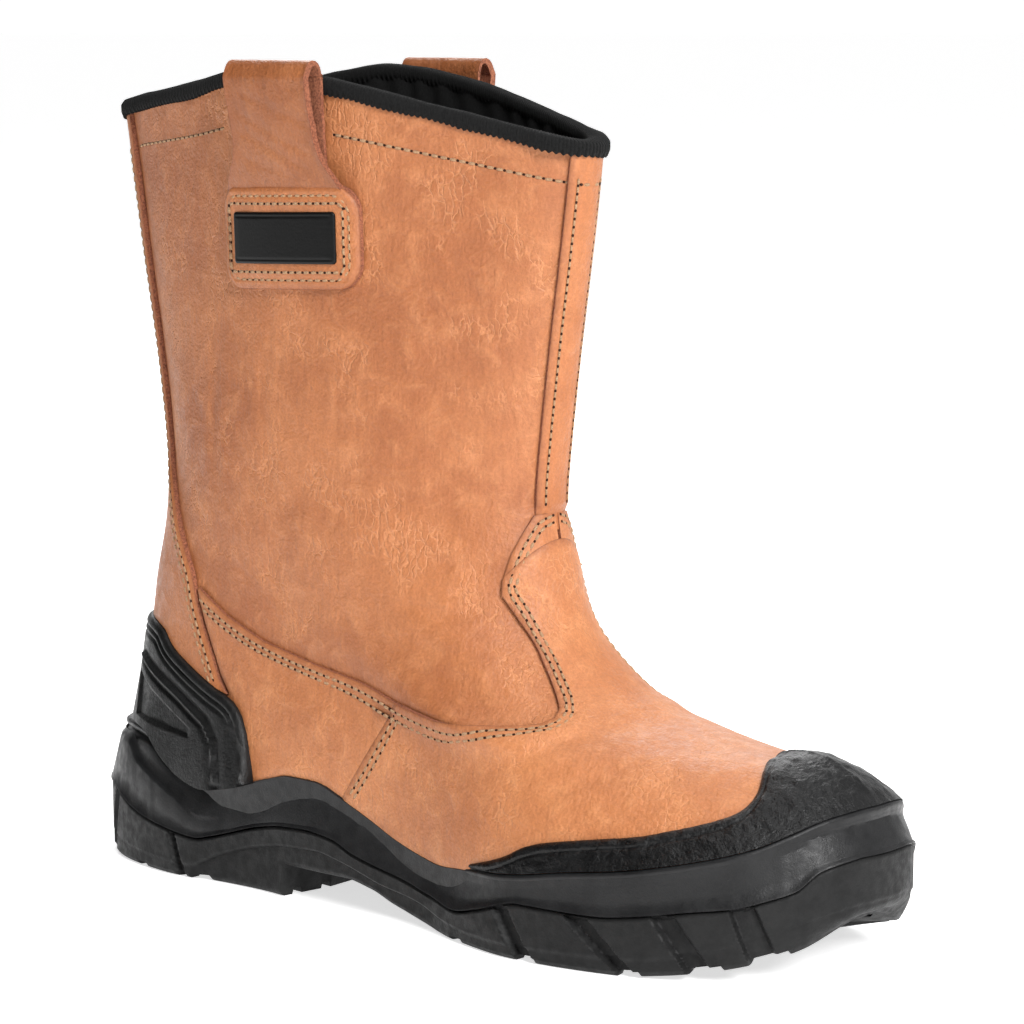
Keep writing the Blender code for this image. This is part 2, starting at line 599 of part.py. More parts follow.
def midsole_rings(lower=False):
    """The parting faces between midsole and outsole: the ring at the wall and the one further in."""
    wall = sole_edge(SOLE_STATIONS)
    inner = sole_edge(SOLE_STATIONS, -INTERFACE_INSET)
    down = 2 * GAP if lower else 0.0
    z_wall = table(PARTING)(wall[:, 1]) - down
    z_in = np.minimum(bed(inner[:, 1]) - TRAY_FLOOR, table(PARTING)(wall[:, 1])) - down
    return wall, z_wall, np.column_stack([inner, z_in])


def sole_turns():
    share = (np.array(SOLE_STATIONS) - HEEL_Y) / SOLE_LENGTH
    turn = np.arccos(np.clip(1 - 2 * share, -1, 1))
    return np.concatenate([turn, 2 * np.pi - turn[-2:0:-1]])


def lip_turns():
    """Turns on the skin beside each sole station: at the same y along the sides, at the same turn at both ends."""
    y = sole_edge(SOLE_STATIONS)[:, 1]
    ends = girth_row(1.5)
    along = np.clip((y - ends[0]) / (ends[2] - ends[0]), 0, 1)
    beside = np.arccos(1 - 2 * along)
    turns = sole_turns()
    beside = np.where(turns > np.pi, 2 * np.pi - beside, beside)
    near = np.clip(np.minimum(y - HEEL_Y, HEEL_Y + SOLE_LENGTH - y) / 40, 0, 1)
    return turns + (beside - turns) * near * near * (3 - 2 * near)


def midsole():
    wall, z_wall, inner_low = midsole_rings()
    y = wall[:, 1]
    z_top = table(MIDSOLE_TOP)(y)
    z_wedge = np.clip(table(WEDGE)(y), z_wall + 2, z_top - 3)

    def ring(out, z):
        return np.column_stack([sole_edge(SOLE_STATIONS, out), z])

    turns = lip_turns()
    row = row_at_height(turns, z_top - 1.2)
    clear = np.full_like(row, PANEL_STEP + GAP)
    lip_in = skin_out(turns, row, clear)
    floor_ring = skin_out(turns, np.full_like(row, 0.0), clear)
    middle_ring = skin_out(turns, row * 0.5, clear)
    floor_ring[:, 2] = bed(floor_ring[:, 1]) - GAP
    rings = [
        inner_low,
        np.column_stack([wall, z_wall]),
        ring(table(WEDGE_OUT)(y), z_wedge),
        ring(-table(CREASE_IN)(y), z_wedge + 1.6),
        ring(-table(MIDSOLE_TOP_IN)(y), z_top),
        lip_in,
        middle_ring,
        floor_ring,
    ]
    return stack("midsole", rings)


def outsole():
    wall, z_wall, inner_top = midsole_rings(lower=True)
    y = wall[:, 1]
    rim = np.minimum(table(ARCH_RIM)(y), z_wall - 3)
    low = table(BOTTOM)(y)
    recess = table(ARCH_RECESS)(y)

    def ring(out, z):
        return np.column_stack([sole_edge(SOLE_STATIONS, out), z])

    shy = 0.4
    z_shy = z_wall + (inner_top[:, 2] - z_wall) * shy / INTERFACE_INSET
    rings = [
        inner_top,
        ring(-shy, z_shy),
        ring(-0.2, rim),
        ring(-recess, rim - 0.8),
        ring(-recess - 0.2, low + 1.6),
        ring(-recess - 1.8, low),
    ]
    body = stack("outsole", rings)
    boolean(body, "DIFFERENCE", side_groove_cutter())
    boolean(body, "DIFFERENCE", tread_channel_cutter())
    return body


def blocks_cutter(name, blocks):
    """One cutter from separate eight-cornered blocks: in-out fastest, then back-front, then top-bottom."""
    quads = ((0, 1, 3, 2), (4, 6, 7, 5), (0, 4, 5, 1), (2, 3, 7, 6), (0, 2, 6, 4), (1, 5, 7, 3))
    points, faces = [], []
    for corners in blocks:
        turned = faces_outward(np.array(corners, float), list(quads))
        faces += [tuple(len(points) + p for p in quad) for quad in turned]
        points += corners
    return make_object(name, points, faces, cutter=True)


def side_groove_cutter():
    blocks = []
    for top_a, top_b, low_a, low_b in GROOVES:
        tops = sole_edge((HEEL_Y, top_a, top_b, HEEL_Y + SOLE_LENGTH))
        lows = sole_edge((HEEL_Y, low_a, low_b, HEEL_Y + SOLE_LENGTH))
        height = float(table(PARTING)(top_b)) - 1.2
        for side, pair in ((1, (1, 2)), (-1, (5, 4))):
            corners = []
            for points, z, forward in ((tops, height, 0.0), (lows, -2.0, 2.0)):
                for x, y in points[list(pair)]:
                    corners += [(x - side * GROOVE_DEPTH, y + forward, z), (x + side * 5.0, y + forward, z)]
            blocks.append(corners)
    return blocks_cutter("side_grooves", blocks)


def tread_channel_cutter():
    blocks = []
    for start, end in [(a - 1, b) for _, _, a, b in GROOVES] + list(CHANNELS):
        low = float(table(BOTTOM)((start + end) / 2))
        corners = []
        for z, grow in ((low + TREAD_DEPTH, 0.0), (-3.0, 1.5)):
            for y in (start - grow, end + grow):
                corners += [(-70.0, y, z), (70.0, y, z)]
        blocks.append(corners)
    return blocks_cutter("tread_channels", blocks)


def heel_counter():
    half = np.array(COUNTER_COLUMNS)
    share = np.concatenate([half[:0:-1], half])
    turn = np.pi * np.concatenate([-half[:0:-1], half])
    base = PANEL_STEP + GAP
    low_row = np.full_like(turn, 1.5)
    for _ in range(8):
        lip = skin_out(turn, low_row, np.full_like(turn, base + COUNTER_THICK + COUNTER_FLARE))
        rise = skin(turn, low_row)[:, 2] - lip[:, 2]
        low_row = row_at_height(turn, table(MIDSOLE_TOP)(lip[:, 1]) + np.maximum(rise, 0) + GAP + 0.3)
    top_row = np.maximum(counter_row(share), low_row + 0.25)
    t = np.array([0, 0.2, 0.4, 0.65, 0.88, 1.0])
    rows = low_row[:, None] + (top_row - low_row)[:, None] * t
    turns = np.broadcast_to(turn[:, None], rows.shape)
    flare = COUNTER_FLARE * (1 - t) ** 2
    stand = base + COUNTER_THICK * np.minimum(1, (1 - t) * 7 + 0.5) + flare
    outer = skin_out(turns, rows, np.broadcast_to(stand, rows.shape))
    inner = skin_out(turns, rows, np.full_like(rows, base))
    return slab("heel_counter", outer, inner)


def toe_bumper():
    half = np.array(BUMPER_COLUMNS)
    share = np.concatenate([half, half[-2::-1]])
    turn = np.pi * np.concatenate([half, 2 - half[-2::-1]])
    wall_y = sole_edge(SOLE_STATIONS)[:, 1]
    edge = sole_edge(SOLE_STATIONS, -table(MIDSOLE_TOP_IN)(wall_y) - 0.1)
    edge = np.column_stack([edge, table(MIDSOLE_TOP)(wall_y) + GAP + 0.15])
    foot = np.column_stack([np.interp(turn, sole_turns(), line) for line in edge.T])
    low_row = row_at_height(turn, foot[:, 2] - 0.6)
    top_row = np.maximum(table(BUMPER_EDGE)(share), low_row + 0.12)
    t = np.array([0, 0.15, 0.35, 0.6, 0.86, 1.0])
    rows = low_row[:, None] + (top_row - low_row)[:, None] * t
    turns = np.broadcast_to(turn[:, None], rows.shape)
    base = PANEL_STEP + GAP
    stand = base + BUMPER_THICK * np.minimum(1, (1 - t) * 6 + 0.4)
    bulge = BUMPER_BULGE * np.clip((share - 0.8) / 0.2, 0, 1)
    outer = skin_out(turns, rows, stand[None, :] + bulge[:, None] * 4 * t * (1 - t))
    outer += ((1 - t) ** 2)[None, :, None] * (foot - outer[:, 0])[:, None, :]
    inner = skin_out(turns, rows, np.full_like(rows, base))
    return slab("toe_bumper", outer, inner)


def insole():
    turns = sole_turns()
    row = row_at_height(turns, bed(skin(turns, 0.0)[:, 1]) + INSOLE_THICK)
    edge = skin_out(turns, row, np.full_like(turns, -SHAFT_WALL - 8 * GAP))
    low, high = edge.copy(), edge.copy()
    low[:, 2] = bed(edge[:, 1])
    high[:, 2] = bed(edge[:, 1]) + INSOLE_THICK
    return stack("insole", [low, high])


def settle():
    """Moves everything so that the origin is the middle of the box on the floor."""
    bpy.context.view_layer.update()
    graph = bpy.context.evaluated_depsgraph_get()
    low, high = np.full(3, np.inf), np.full(3, -np.inf)
    for obj in collection("rigger_boot").objects:
        mesh = obj.evaluated_get(graph).to_mesh()
        points = np.array([v.co[:] for v in mesh.vertices])
        low, high = np.minimum(low, points.min(axis=0)), np.maximum(high, points.max(axis=0))
    shift = -np.array([(low[0] + high[0]) / 2, (low[1] + high[1]) / 2, low[2]])
    for mesh in {obj.data for obj in bpy.data.objects}:
        for vertex in mesh.vertices:
            vertex.co = np.array(vertex.co) + shift
    print("moved by", np.round(shift * 1000, 3))


def main():
    clear_scene()
    for piece in (upper(), front_strip(), back_strip()):
        paint(piece, "tan_leather")
    paint(collar_binding(), "binding_tape")
    for name, side in (("pull_loop_lateral", 1), ("pull_loop_medial", -1)):
        paint(pull_loop(name, side), "tan_leather")
    paint(badge(), "black_plate")
    for piece in (toe_bumper(), heel_counter(), midsole(), outsole()):
        paint(piece, "black_rubber")
    paint(insole(), "insole_felt")
    settle()


main()
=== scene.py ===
"""Rigger boot, dressed: leather, lining, stitching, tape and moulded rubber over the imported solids.

Lengths are millimetres in the boot's own frame (X to the outer side, Y to the toe, Z up, y = 0 near the heel)
until to_scene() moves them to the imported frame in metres.
"""

import bpy
import numpy as np
from mathutils import Matrix, Vector


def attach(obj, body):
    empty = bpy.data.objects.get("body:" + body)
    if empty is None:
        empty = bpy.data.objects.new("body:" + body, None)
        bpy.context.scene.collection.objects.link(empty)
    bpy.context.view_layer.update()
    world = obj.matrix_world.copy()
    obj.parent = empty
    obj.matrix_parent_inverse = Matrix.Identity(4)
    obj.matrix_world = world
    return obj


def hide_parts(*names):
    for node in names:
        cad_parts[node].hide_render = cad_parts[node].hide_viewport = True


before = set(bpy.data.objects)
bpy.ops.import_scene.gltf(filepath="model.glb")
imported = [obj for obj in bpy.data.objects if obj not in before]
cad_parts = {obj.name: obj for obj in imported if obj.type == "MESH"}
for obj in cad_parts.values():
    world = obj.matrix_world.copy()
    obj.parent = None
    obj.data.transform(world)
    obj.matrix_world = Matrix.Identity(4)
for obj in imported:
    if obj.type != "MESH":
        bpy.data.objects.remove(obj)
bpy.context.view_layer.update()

SHIFT = np.array([-0.482, -149.25, 0.0])  # from the boot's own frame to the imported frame

HEEL_Y = -11.0  # rearmost point of the sole
SOLE_LENGTH = 320.5
SHAFT_WALL = 2.2  # leather and lining together
PANEL_STEP = 1.4  # how far vamp and quarter stand over the shaft leather
STRIP_THICK = 2.0
GAP = 0.3  # left between neighbouring pieces
VAMP_STAND = 1.95  # outer face of the vamp over the skin
VAMP_THICK = 1.9
QUARTER_STAND = 1.4
QUARTER_THICK = 1.6
SEAM_OVERLAP = 7.0  # how far the quarters run on under the vamp

BINDING_TALL = 4.0

LOOP_WIDTH = 36.0
LOOP_LEATHER = 1.8  # thickness of the strap
LOOP_Y = {1: 97.0, -1: 103.5}  # middle of the patch on the outer and on the inner side
PATCH_Z = 221.0
LOOP_LEAN = 0.035  # backward lean of the strap, as a slope
LOOP_TOP = 279.5
PATCH_SIZE = (60.0, 34.0)
PATCH_CORNER = 9.0
PATCH_EDGE = 2.5  # stand-off of the patch near its edge
PATCH_MIDDLE = 3.9  # stand-off of the patch behind the badge
BADGE_SIZE = (45.0, 17.0)
BADGE_THICK = 0.9

INSOLE_THICK = 4.0
TRAY_FLOOR = 4.5  # midsole under the foot
INTERFACE_INSET = 6.0  # width of the visible parting step between midsole and outsole
GROOVE_DEPTH = 2.6
TREAD_DEPTH = 3.0

# One row per girth line, from the feather line (row 0) up to the collar. Each girth is a closed ring through
# a back and a front point; the shares give its half width at seven places from the back to the front seam.
GIRTH_PLACES = (0.0, 0.25, 0.5, 0.62, 0.75, 0.87, 1.0)
GIRTHS = (
    # back_y, back_z, front_y, front_z, widths at GIRTH_PLACES,            side_lift, bed, swing
    (10.5, 28.0, 297.0, 31.0, 66.0, 46.0, 38.0, 53.0, 62.0, 74.0, 80.0, 0.0, 1.0, 1.0),
    (9.6, 40.0, 300.0, 42.0, 67.0, 47.5, 38.5, 53.0, 61.0, 71.0, 79.0, 0.0, 0.85, 1.0),
    (9.2, 54.0, 295.0, 52.0, 64.0, 46.5, 37.5, 48.5, 53.0, 58.0, 60.0, 0.0, 0.5, 1.0),
    (9.6, 68.0, 283.0, 59.5, 60.0, 45.0, 35.5, 43.5, 40.0, 38.0, 40.0, 0.0, 0.2, 1.0),
    (10.3, 82.0, 266.5, 61.4, 55.0, 43.5, 34.0, 44.0, 35.0, 28.0, 28.0, 0.0, 0.05, 1.0),
    (11.2, 92.0, 244.0, 64.4, 50.0, 42.0, 33.0, 41.0, 40.0, 34.0, 31.0, 0.0, 0.0, 1.0),
    (12.6, 103.0, 220.5, 71.2, 45.0, 41.0, 33.0, 38.0, 42.0, 42.0, 41.0, 0.0, 0.0, 0.9),
    (14.8, 113.0, 201.0, 84.5, 41.0, 40.0, 33.5, 36.0, 42.0, 44.0, 44.0, 0.0, 0.0, 0.7),
    (16.2, 122.0, 190.0, 98.5, 38.0, 39.5, 34.5, 36.0, 39.0, 40.0, 41.0, 0.0, 0.0, 0.5),
    (16.7, 131.0, 185.5, 114.0, 36.0, 39.0, 35.5, 36.0, 36.0, 37.0, 38.0, 0.0, 0.0, 0.3),
    (16.4, 141.0, 181.8, 131.0, 35.0, 38.0, 36.0, 35.5, 34.0, 34.5, 36.0, 0.0, 0.0, 0.1),
    (14.9, 152.0, 182.0, 147.0, 34.0, 37.0, 36.0, 35.0, 33.0, 33.0, 34.0, 0.5, 0.0, 0.0),
    (11.0, 173.0, 185.3, 173.0, 33.0, 34.5, 35.0, 34.0, 31.0, 31.5, 33.0, 2.0, 0.0, 0.0),
    (5.4, 199.0, 188.7, 197.0, 32.5, 32.0, 34.0, 33.0, 30.0, 31.0, 32.5, 6.0, 0.0, 0.0),
    (-0.8, 229.5, 193.0, 226.0, 32.5, 30.5, 34.0, 32.5, 29.0, 31.0, 32.5, 11.0, 0.0, 0.0),
    (-6.3, 261.0, 196.5, 253.0, 32.0, 30.0, 34.0, 32.5, 29.0, 30.5, 32.0, 18.0, 0.0, 0.0),
)
TOP_ROW = len(GIRTHS) - 1.0

# How the collar rises from its ends to the pull loops:
# share of the way from back to front, share of side_lift
RIM_RISE = (
    (0, 0), (0.06, 0.2), (0.15, 0.38), (0.27, 0.63), (0.36, 0.87), (0.44, 1), (0.5, 0.98), (0.6, 0.86),
    (0.69, 0.7), (0.78, 0.51), (0.86, 0.34), (0.93, 0.18), (1, 0),
)

# Height of the bed the foot stands on, and how the foot's midline swings sideways: y, value
BED = (
    (-11, 28), (10, 28), (60, 27.5), (100, 25.5), (140, 21), (180, 16.5), (215, 16.5), (250, 19.5),
    (280, 25), (300, 29.5),
)
SWING = ((-11, 0), (35, 1.5), (80, 3), (110, 4), (148, 3), (207, 1), (261, -2.5), (294, -6), (308, -7))

# Half width of the sole at places from heel to toe: share of half a turn, width share
SOLE_WIDTHS = ((0, 78), (0.25, 54), (0.38, 41), (0.5, 41), (0.62, 59.5), (0.75, 70), (0.87, 80.5), (1, 89))

# Side view lines of the sole: y, z
PARTING = (
    (-11, 26), (5, 25.6), (12, 23.6), (23, 19.9), (41, 16.6), (57, 14.9), (62, 15.9), (72, 18.7), (85, 22.5),
    (99, 25.1), (112, 25.8), (123, 24.5), (133, 20.7), (152, 16.2), (172, 12.2), (181, 10.8), (195, 13.9),
    (206, 17.4), (213, 18.8), (241, 18.4), (256, 20), (270, 22.4), (283, 24.2), (291, 26.8), (297, 29.5),
    (302, 35.4), (308, 38.6),
)
WEDGE = (
    (-11, 41), (15, 42), (22, 36.6), (32, 32.9), (46, 27.4), (58, 21.5), (72, 22.5), (112, 29.5),
    (308, 42),
)
MIDSOLE_TOP = (
    (-11, 47.5), (13, 49), (27, 48), (38, 42), (53, 36.6), (63, 35.4), (77, 37.6), (90, 41), (101, 43.3),
    (112, 43), (125, 38.6), (138, 33.3), (149, 28.9), (160, 26), (172, 24.3), (182, 25), (193, 25.8),
    (210, 27.5), (229, 30.6), (249, 33.3), (263, 35.9), (277, 39.2), (288, 42.6), (296, 46.4), (304, 50.6),
    (309, 52.3),
)
MIDSOLE_TOP_IN = (
    (-11, 7), (10, 4.5), (30, 3.6), (60, 3.4), (176, 3.4), (190, 2.4), (207, 0.8), (280, 1.0), (297, 3),
    (309, 4.5),
)
WEDGE_OUT = ((-11, -4.5), (-4, -3.5), (15, -1.6), (40, -0.4), (62, 0), (300, 0), (309, -1))
CREASE_IN = ((-11, 6), (-4, 5), (15, 3.2), (45, 1.6), (62, 0.2), (100, 0.6), (290, 0.4), (309, 1.6))
ARCH_RIM = (
    (-11, 9), (30, 5.5), (52, 5), (66, 10.5), (82, 15.5), (100, 18.8), (115, 19.5), (127, 17.4), (146, 12),
    (163, 9), (175, 6), (190, 5), (250, 6), (280, 12), (308, 24),
)
ARCH_RECESS = ((-11, 0.2), (20, 0.5), (53, 0.7), (60, 2.6), (164, 2.8), (178, 0.9), (309, 0.8))
BOTTOM = (
    (-11, 4.5), (-4, 1.6), (5, 0), (94.5, 0), (96.5, 11), (124, 11), (138, 8.6), (147, 5.2), (160, 1.5),
    (169, 0), (247, 0), (262, 1.4), (276, 3.6), (290, 7), (300, 10.5), (309, 17),
)

# Slanted side grooves: y of both edges at the parting line, then at the floor
GROOVES = (
    (200.5, 207.5, 212.0, 218.5), (229.0, 237.0, 249.5, 255.0), (258.0, 265.5, 272.0, 279.5),
    (281.0, 287.5, 289.0, 296.5),
)

# Tread channels without a side groove: y of both edges
CHANNELS = ((178.0, 183.5), (53.0, 60.5), (24.0, 29.0))

# Upper edge of vamp and quarter in side view, from the front of the ankle to the backstay: y, z
PANEL_EDGE = (
    (230, 135.6), (186, 135.4), (179.5, 133.2), (178.2, 128.6), (176.4, 121.5), (175.4, 112.8),
    (175.8, 108), (182, 99.4), (191.8, 87.3), (199.6, 78.5), (203.3, 74.3), (204.1, 71.5), (202, 70),
    (194.2, 69.2), (181, 68.9), (168, 69.5), (147, 72.6), (130.5, 76.8), (110.6, 80.2), (85.7, 85.6),
    (67.4, 92.6), (50, 101.4), (40, 107),
)
# Edge of the backstay: girth row, share of half a turn from the back seam
BACKSTAY = (
    (2.6, 0.325), (3.35, 0.303), (4.3, 0.294), (5.6, 0.289), (6.6, 0.283), (7.2, 0.268), (8, 0.24),
    (8.8, 0.213), (9.9, 0.175), (11.3, 0.155), (12.8, 0.135), (15, 0.12),
)
FRONT_STRIP_HALF = 7.6

# Upper edges of heel counter and toe bumper: share of half a turn from the heel, girth row
COUNTER_EDGE = (
    (0, 4.35), (0.15, 4.4), (0.19, 4.3), (0.217, 3.87), (0.26, 3.47), (0.298, 3.1), (0.322, 2.85),
    (0.333, 2.45), (0.337, 1.9), (0.3395, 1.2),
)
BUMPER_EDGE = (
    (0.575, 0.78), (0.58, 0.82), (0.61, 1.1), (0.63, 1.35), (0.648, 1.48), (0.693, 1.6), (0.725, 1.65),
    (0.757, 1.75), (0.804, 1.92), (0.83, 2.07), (0.848, 2.3), (0.858, 2.49), (0.886, 3.12), (0.931, 3.64),
    (1, 3.9),
)
COUNTER_FLARE = 3.4
COUNTER_THICK = 2.8
BUMPER_THICK = 2.4
BUMPER_BULGE = 3.6

# Side-view creases of the upper: depth and width in millimetres, then the line as y, z places
CREASES = (
    (0.5, 2.2, ((150, 118), (166, 116), (178, 118))),
    (0.5, 2.0, ((146, 104), (162, 101), (176, 104))),
    (0.4, 2.0, ((150, 92), (168, 89), (184, 92))),
    (0.6, 2.6, ((200, 60), (214, 66), (228, 68))),
    (0.5, 2.4, ((212, 50), (226, 56), (238, 58))),
    (0.35, 2.4, ((60, 190), (58, 160), (62, 130))),
    (0.3, 2.0, ((88, 196), (84, 165), (90, 138))),
    (0.35, 2.2, ((150, 232), (164, 205), (178, 180))),
    (0.3, 2.0, ((140, 215), (158, 190), (172, 168))),
)
SEAM = ((0.5122, 3.75), (0.4392, 1.37))  # side seam: share of half a turn, girth row

# Moulded line and sunk panel of the heel counter in side view: y, z
COUNTER_RIDGE = ((20.7, 72.2), (48.5, 62.1), (62.7, 55.6), (67.8, 49.8), (71.0, 37.9))
COUNTER_PANEL = ((19.0, 67.2), (23.4, 51.9), (55.2, 49.3), (55.4, 52.8))

# How far the strap's front widens towards its foot: height over the patch's middle, added half width
STRAP_SPREAD = ((0, 11), (7, 11), (14, 8.5), (20, 5), (26, 1.5), (34, 0), (60, 0))
# Slanting folds of the strap: distance from its middle, z
STRAP_FOLDS = (
    ((-16, 262), (14, 249)),
    ((-14, 255), (12, 244)),
    ((-15, 247), (6, 241)),
    ((-12, 268), (16, 258)),
)
COLLAR_STITCH_ROW = 14.52
PEAK_STITCH_Z = 135.4  # top of the stitching round the vamp's peak
PEAK_STITCH_TURN = 0.985  # share of half a turn where that stitching ends at the front strip

# Rings of lugs under the sole: distance in from the edge, depth of the lengthwise slot there
LUG_RINGS = ((5.5, 0), (6.2, 2), (9.0, 2), (9.7, 0), (18, 0), (18.7, 2), (21.5, 2), (22.2, 0))

CAMERA_TURN, CAMERA_LEAN = 40.0, 7.6  # degrees: round from the outer side to the toe, and down
CAMERA_AWAY, CAMERA_BESIDE, CAMERA_HEIGHT = 1339.0, 125.4, 296.8
FOCAL_PIXELS, PHOTO_PIXELS = 3800, 1024
SENSOR = 36
FLOOR_RADIUS = 40
FLOOR_CORNERS = 96


def table(rows):
    """A smooth, never overshooting curve through (place, value) rows."""
    xs, ys = np.array(rows, float).T
    step = np.diff(xs)
    slope = np.diff(ys) / step
    left, right = slope[:-1], slope[1:]
    weight_left, weight_right = 2 * step[1:] + step[:-1], step[1:] + 2 * step[:-1]
    same = left * right > 0
    inner = np.zeros(len(left))
    inner[same] = ((weight_left + weight_right)[same]) / (
        weight_left[same] / left[same] + weight_right[same] / right[same]
    )
    tangent = np.concatenate([slope[:1], inner, slope[-1:]])

    def value(x):
        x = np.clip(np.asarray(x, float), xs[0], xs[-1])
        i = np.clip(np.searchsorted(xs, x, side="right") - 1, 0, len(step) - 1)
        t = (x - xs[i]) / step[i]
        return (
            ys[i] * (1 + 2 * t) * (1 - t) ** 2
            + ys[i + 1] * t * t * (3 - 2 * t)
            + step[i] * t * (1 - t) * (tangent[i] * (1 - t) - tangent[i + 1] * t)
        )

    return value


def spline(rows):
    """A natural cubic spline through equally spaced rows, for any number of columns."""
    rows = np.array(rows, float)
    count = len(rows)
    system = 4 * np.eye(count) + np.eye(count, k=1) + np.eye(count, k=-1)
    system[0, :2] = system[-1, [-1, -2]] = (1, 0)
    bend = np.zeros_like(rows)
    bend[1:-1] = 6 * (rows[2:] - 2 * rows[1:-1] + rows[:-2])
    bend = np.linalg.solve(system, bend)

    def value(place):
        place = np.asarray(place, float)
        i = np.clip(np.floor(place).astype(int), 0, count - 2)
        t = (place - i)[..., None]
        s = 1 - t
        return s * rows[i] + t * rows[i + 1] + ((s**3 - s) * bend[i] + (t**3 - t) * bend[i + 1]) / 6

    return value


girth_row = spline(GIRTHS)
bed = table(BED)
swing = table(SWING)
rim_rise = table(RIM_RISE)


def girth_width(turn, widths):
    """Width share at a turn (0 back seam, pi front seam), by a cubic through the row's seven widths."""
    places = np.pi * np.array(GIRTH_PLACES)
    i = np.clip(np.searchsorted(places, turn, side="right") - 1, 0, len(places) - 2)
    step = np.diff(places)
    slope = np.diff(widths, axis=-1) / step
    inner = (slope[..., :-1] * step[1:] + slope[..., 1:] * step[:-1]) / (step[1:] + step[:-1])
    ends = np.zeros_like(inner[..., :1])
    tangent = np.concatenate([ends, inner, ends], axis=-1)

    def pick(values, index):
        return np.take_along_axis(values, index[..., None], axis=-1)[..., 0]

    t = (turn - places[i]) / step[i]
    return (
        pick(widths, i) * (1 + 2 * t) * (1 - t) ** 2
        + pick(widths, i + 1) * t * t * (3 - 2 * t)
        + step[i] * t * (1 - t) * (pick(tangent, i) * (1 - t) - pick(tangent, i + 1) * t)
    )


def skin(turn, row):
    """Points of the upper's outer skin. turn runs 0..2 pi from the back seam round the outer side."""
    turn, row = np.broadcast_arrays(np.asarray(turn, float), np.asarray(row, float))
    values = girth_row(row)
    back_y, back_z, front_y, front_z = (values[..., i] for i in range(4))
    lift, sag, sway = (values[..., i] for i in (11, 12, 13))
    folded = np.where(turn > np.pi, 2 * np.pi - turn, turn)
    folded = np.clip(np.abs(folded), 0, np.pi)
    along = (1 - np.cos(turn)) / 2
    y = back_y + (front_y - back_y) * along
    flat_z = back_z + (front_z - back_z) * along
    z = flat_z + lift * rim_rise(along) + sag * (bed(y) - 28 - 3 * along)
    x = np.sin(turn) * girth_width(folded, values[..., 4:11]) + sway * swing(y)
    return np.stack([x, y, z], axis=-1)


def skin_out(turn, row, out):
    """Points that stand off the skin by out, measured square to it."""
    turn, row = np.broadcast_arrays(np.asarray(turn, float), np.asarray(row, float))
    d = 1e-3
    low, high = np.maximum(row - d, 0), np.minimum(row + d, TOP_ROW)
    round_it = skin(turn + d, row) - skin(turn - d, row)
    up_it = skin(turn, high) - skin(turn, low)
    normal = np.cross(round_it, up_it)
    normal /= np.linalg.norm(normal, axis=-1, keepdims=True)
    return skin(turn, row) + np.asarray(out, float)[..., None] * normal


def row_at_height(turn, z, top=6.0):
    """Girth row at which the skin reaches height z in each column."""
    low = np.zeros_like(turn)
    high = np.full_like(turn, top)
    for _ in range(40):
        middle = (low + high) / 2
        under = skin(turn, middle)[..., 2] < z
        low, high = np.where(under, middle, low), np.where(under, high, middle)
    return low


def place_on_side(y, z):
    """Turn and girth row of the outer side at side-view place y, z; heights over the rim stop at the rim."""
    y, z = np.broadcast_arrays(np.asarray(y, float), np.asarray(z, float))
    low, high = np.zeros_like(y), np.full_like(y, TOP_ROW)

    def turn_of(row):
        values = girth_row(row)
        along = (y - values[..., 0]) / (values[..., 2] - values[..., 0])
        return np.arccos(np.clip(1 - 2 * along, -1, 1))

    for _ in range(40):
        middle = (low + high) / 2
        under = skin(turn_of(middle), middle)[..., 2] < z
        low, high = np.where(under, middle, low), np.where(under, high, middle)
    return turn_of(low), low


def turn_for_arc(rows, arc):
    """Turns that lie arc millimetres round from the front seam, towards the outer side."""
    probe = np.linspace(0, 0.9, 46)
    points = skin(np.pi - probe[None, :], np.asarray(rows, float)[:, None])
    run = np.cumsum(np.linalg.norm(np.diff(points, axis=1), axis=-1), axis=1)
    run = np.concatenate([np.zeros((len(run), 1)), run], axis=1)
    found = np.array([np.interp(np.abs(arc), line, probe) for line in run])
    return np.pi - found * np.sign(arc)


def turns_of(stations):
    """Turn of each point of the sole's ring: out along the outer side, back along the inner side."""
    share = (np.asarray(stations, float) - HEEL_Y) / SOLE_LENGTH
    turn = np.arccos(np.clip(1 - 2 * share, -1, 1))
    return np.concatenate([turn, 2 * np.pi - turn[-2:0:-1]])


def sole_edge(stations, out=0.0):
    """The sole's outline as a ring at the stations: heel, outer side, toe, inner side. out grows it."""
    ring_turn = turns_of(stations)

    def outline(t):
        along = (1 - np.cos(t)) / 2
        y = HEEL_Y + SOLE_LENGTH * along
        folded = np.where(t > np.pi, 2 * np.pi - t, np.abs(t))
        x = np.sin(t) * table(SOLE_WIDTHS)(folded / np.pi) + swing(y)
        return np.stack([x, y], axis=-1)

    tangent = outline(ring_turn + 1e-3) - outline(ring_turn - 1e-3)
    tangent /= np.linalg.norm(tangent, axis=-1, keepdims=True)
    normal = np.stack([tangent[:, 1], -tangent[:, 0]], axis=-1)
    return outline(ring_turn) + np.broadcast_to(out, ring_turn.shape)[:, None] * normal


def panel_outline():
    """Side-view outline of the raised lower panels; behind the backstay they go on only under the counter."""
    rows = np.linspace(6.35, 3.0, 8)
    turn = np.pi * table(BACKSTAY)(rows)
    stay = skin(turn, rows)[:, 1:] + np.array([1.1, 0.0])
    share = np.array([0.3, 0.26, 0.217, 0.19, 0.1, 0.0])
    under = skin(np.pi * share, table(COUNTER_EDGE)(share) - 0.25)[:, 1:]
    front = [p for p in PANEL_EDGE if p[0] > stay[0][0] + 1]
    around = [(-30.0, under[-1][1]), (-30.0, -10.0), (330.0, -10.0), (330.0, 135.6)]
    return front + stay.tolist() + under.tolist() + around


# Mesh helpers

def to_scene(points):
    return (np.asarray(points, float) + SHIFT) / 1000


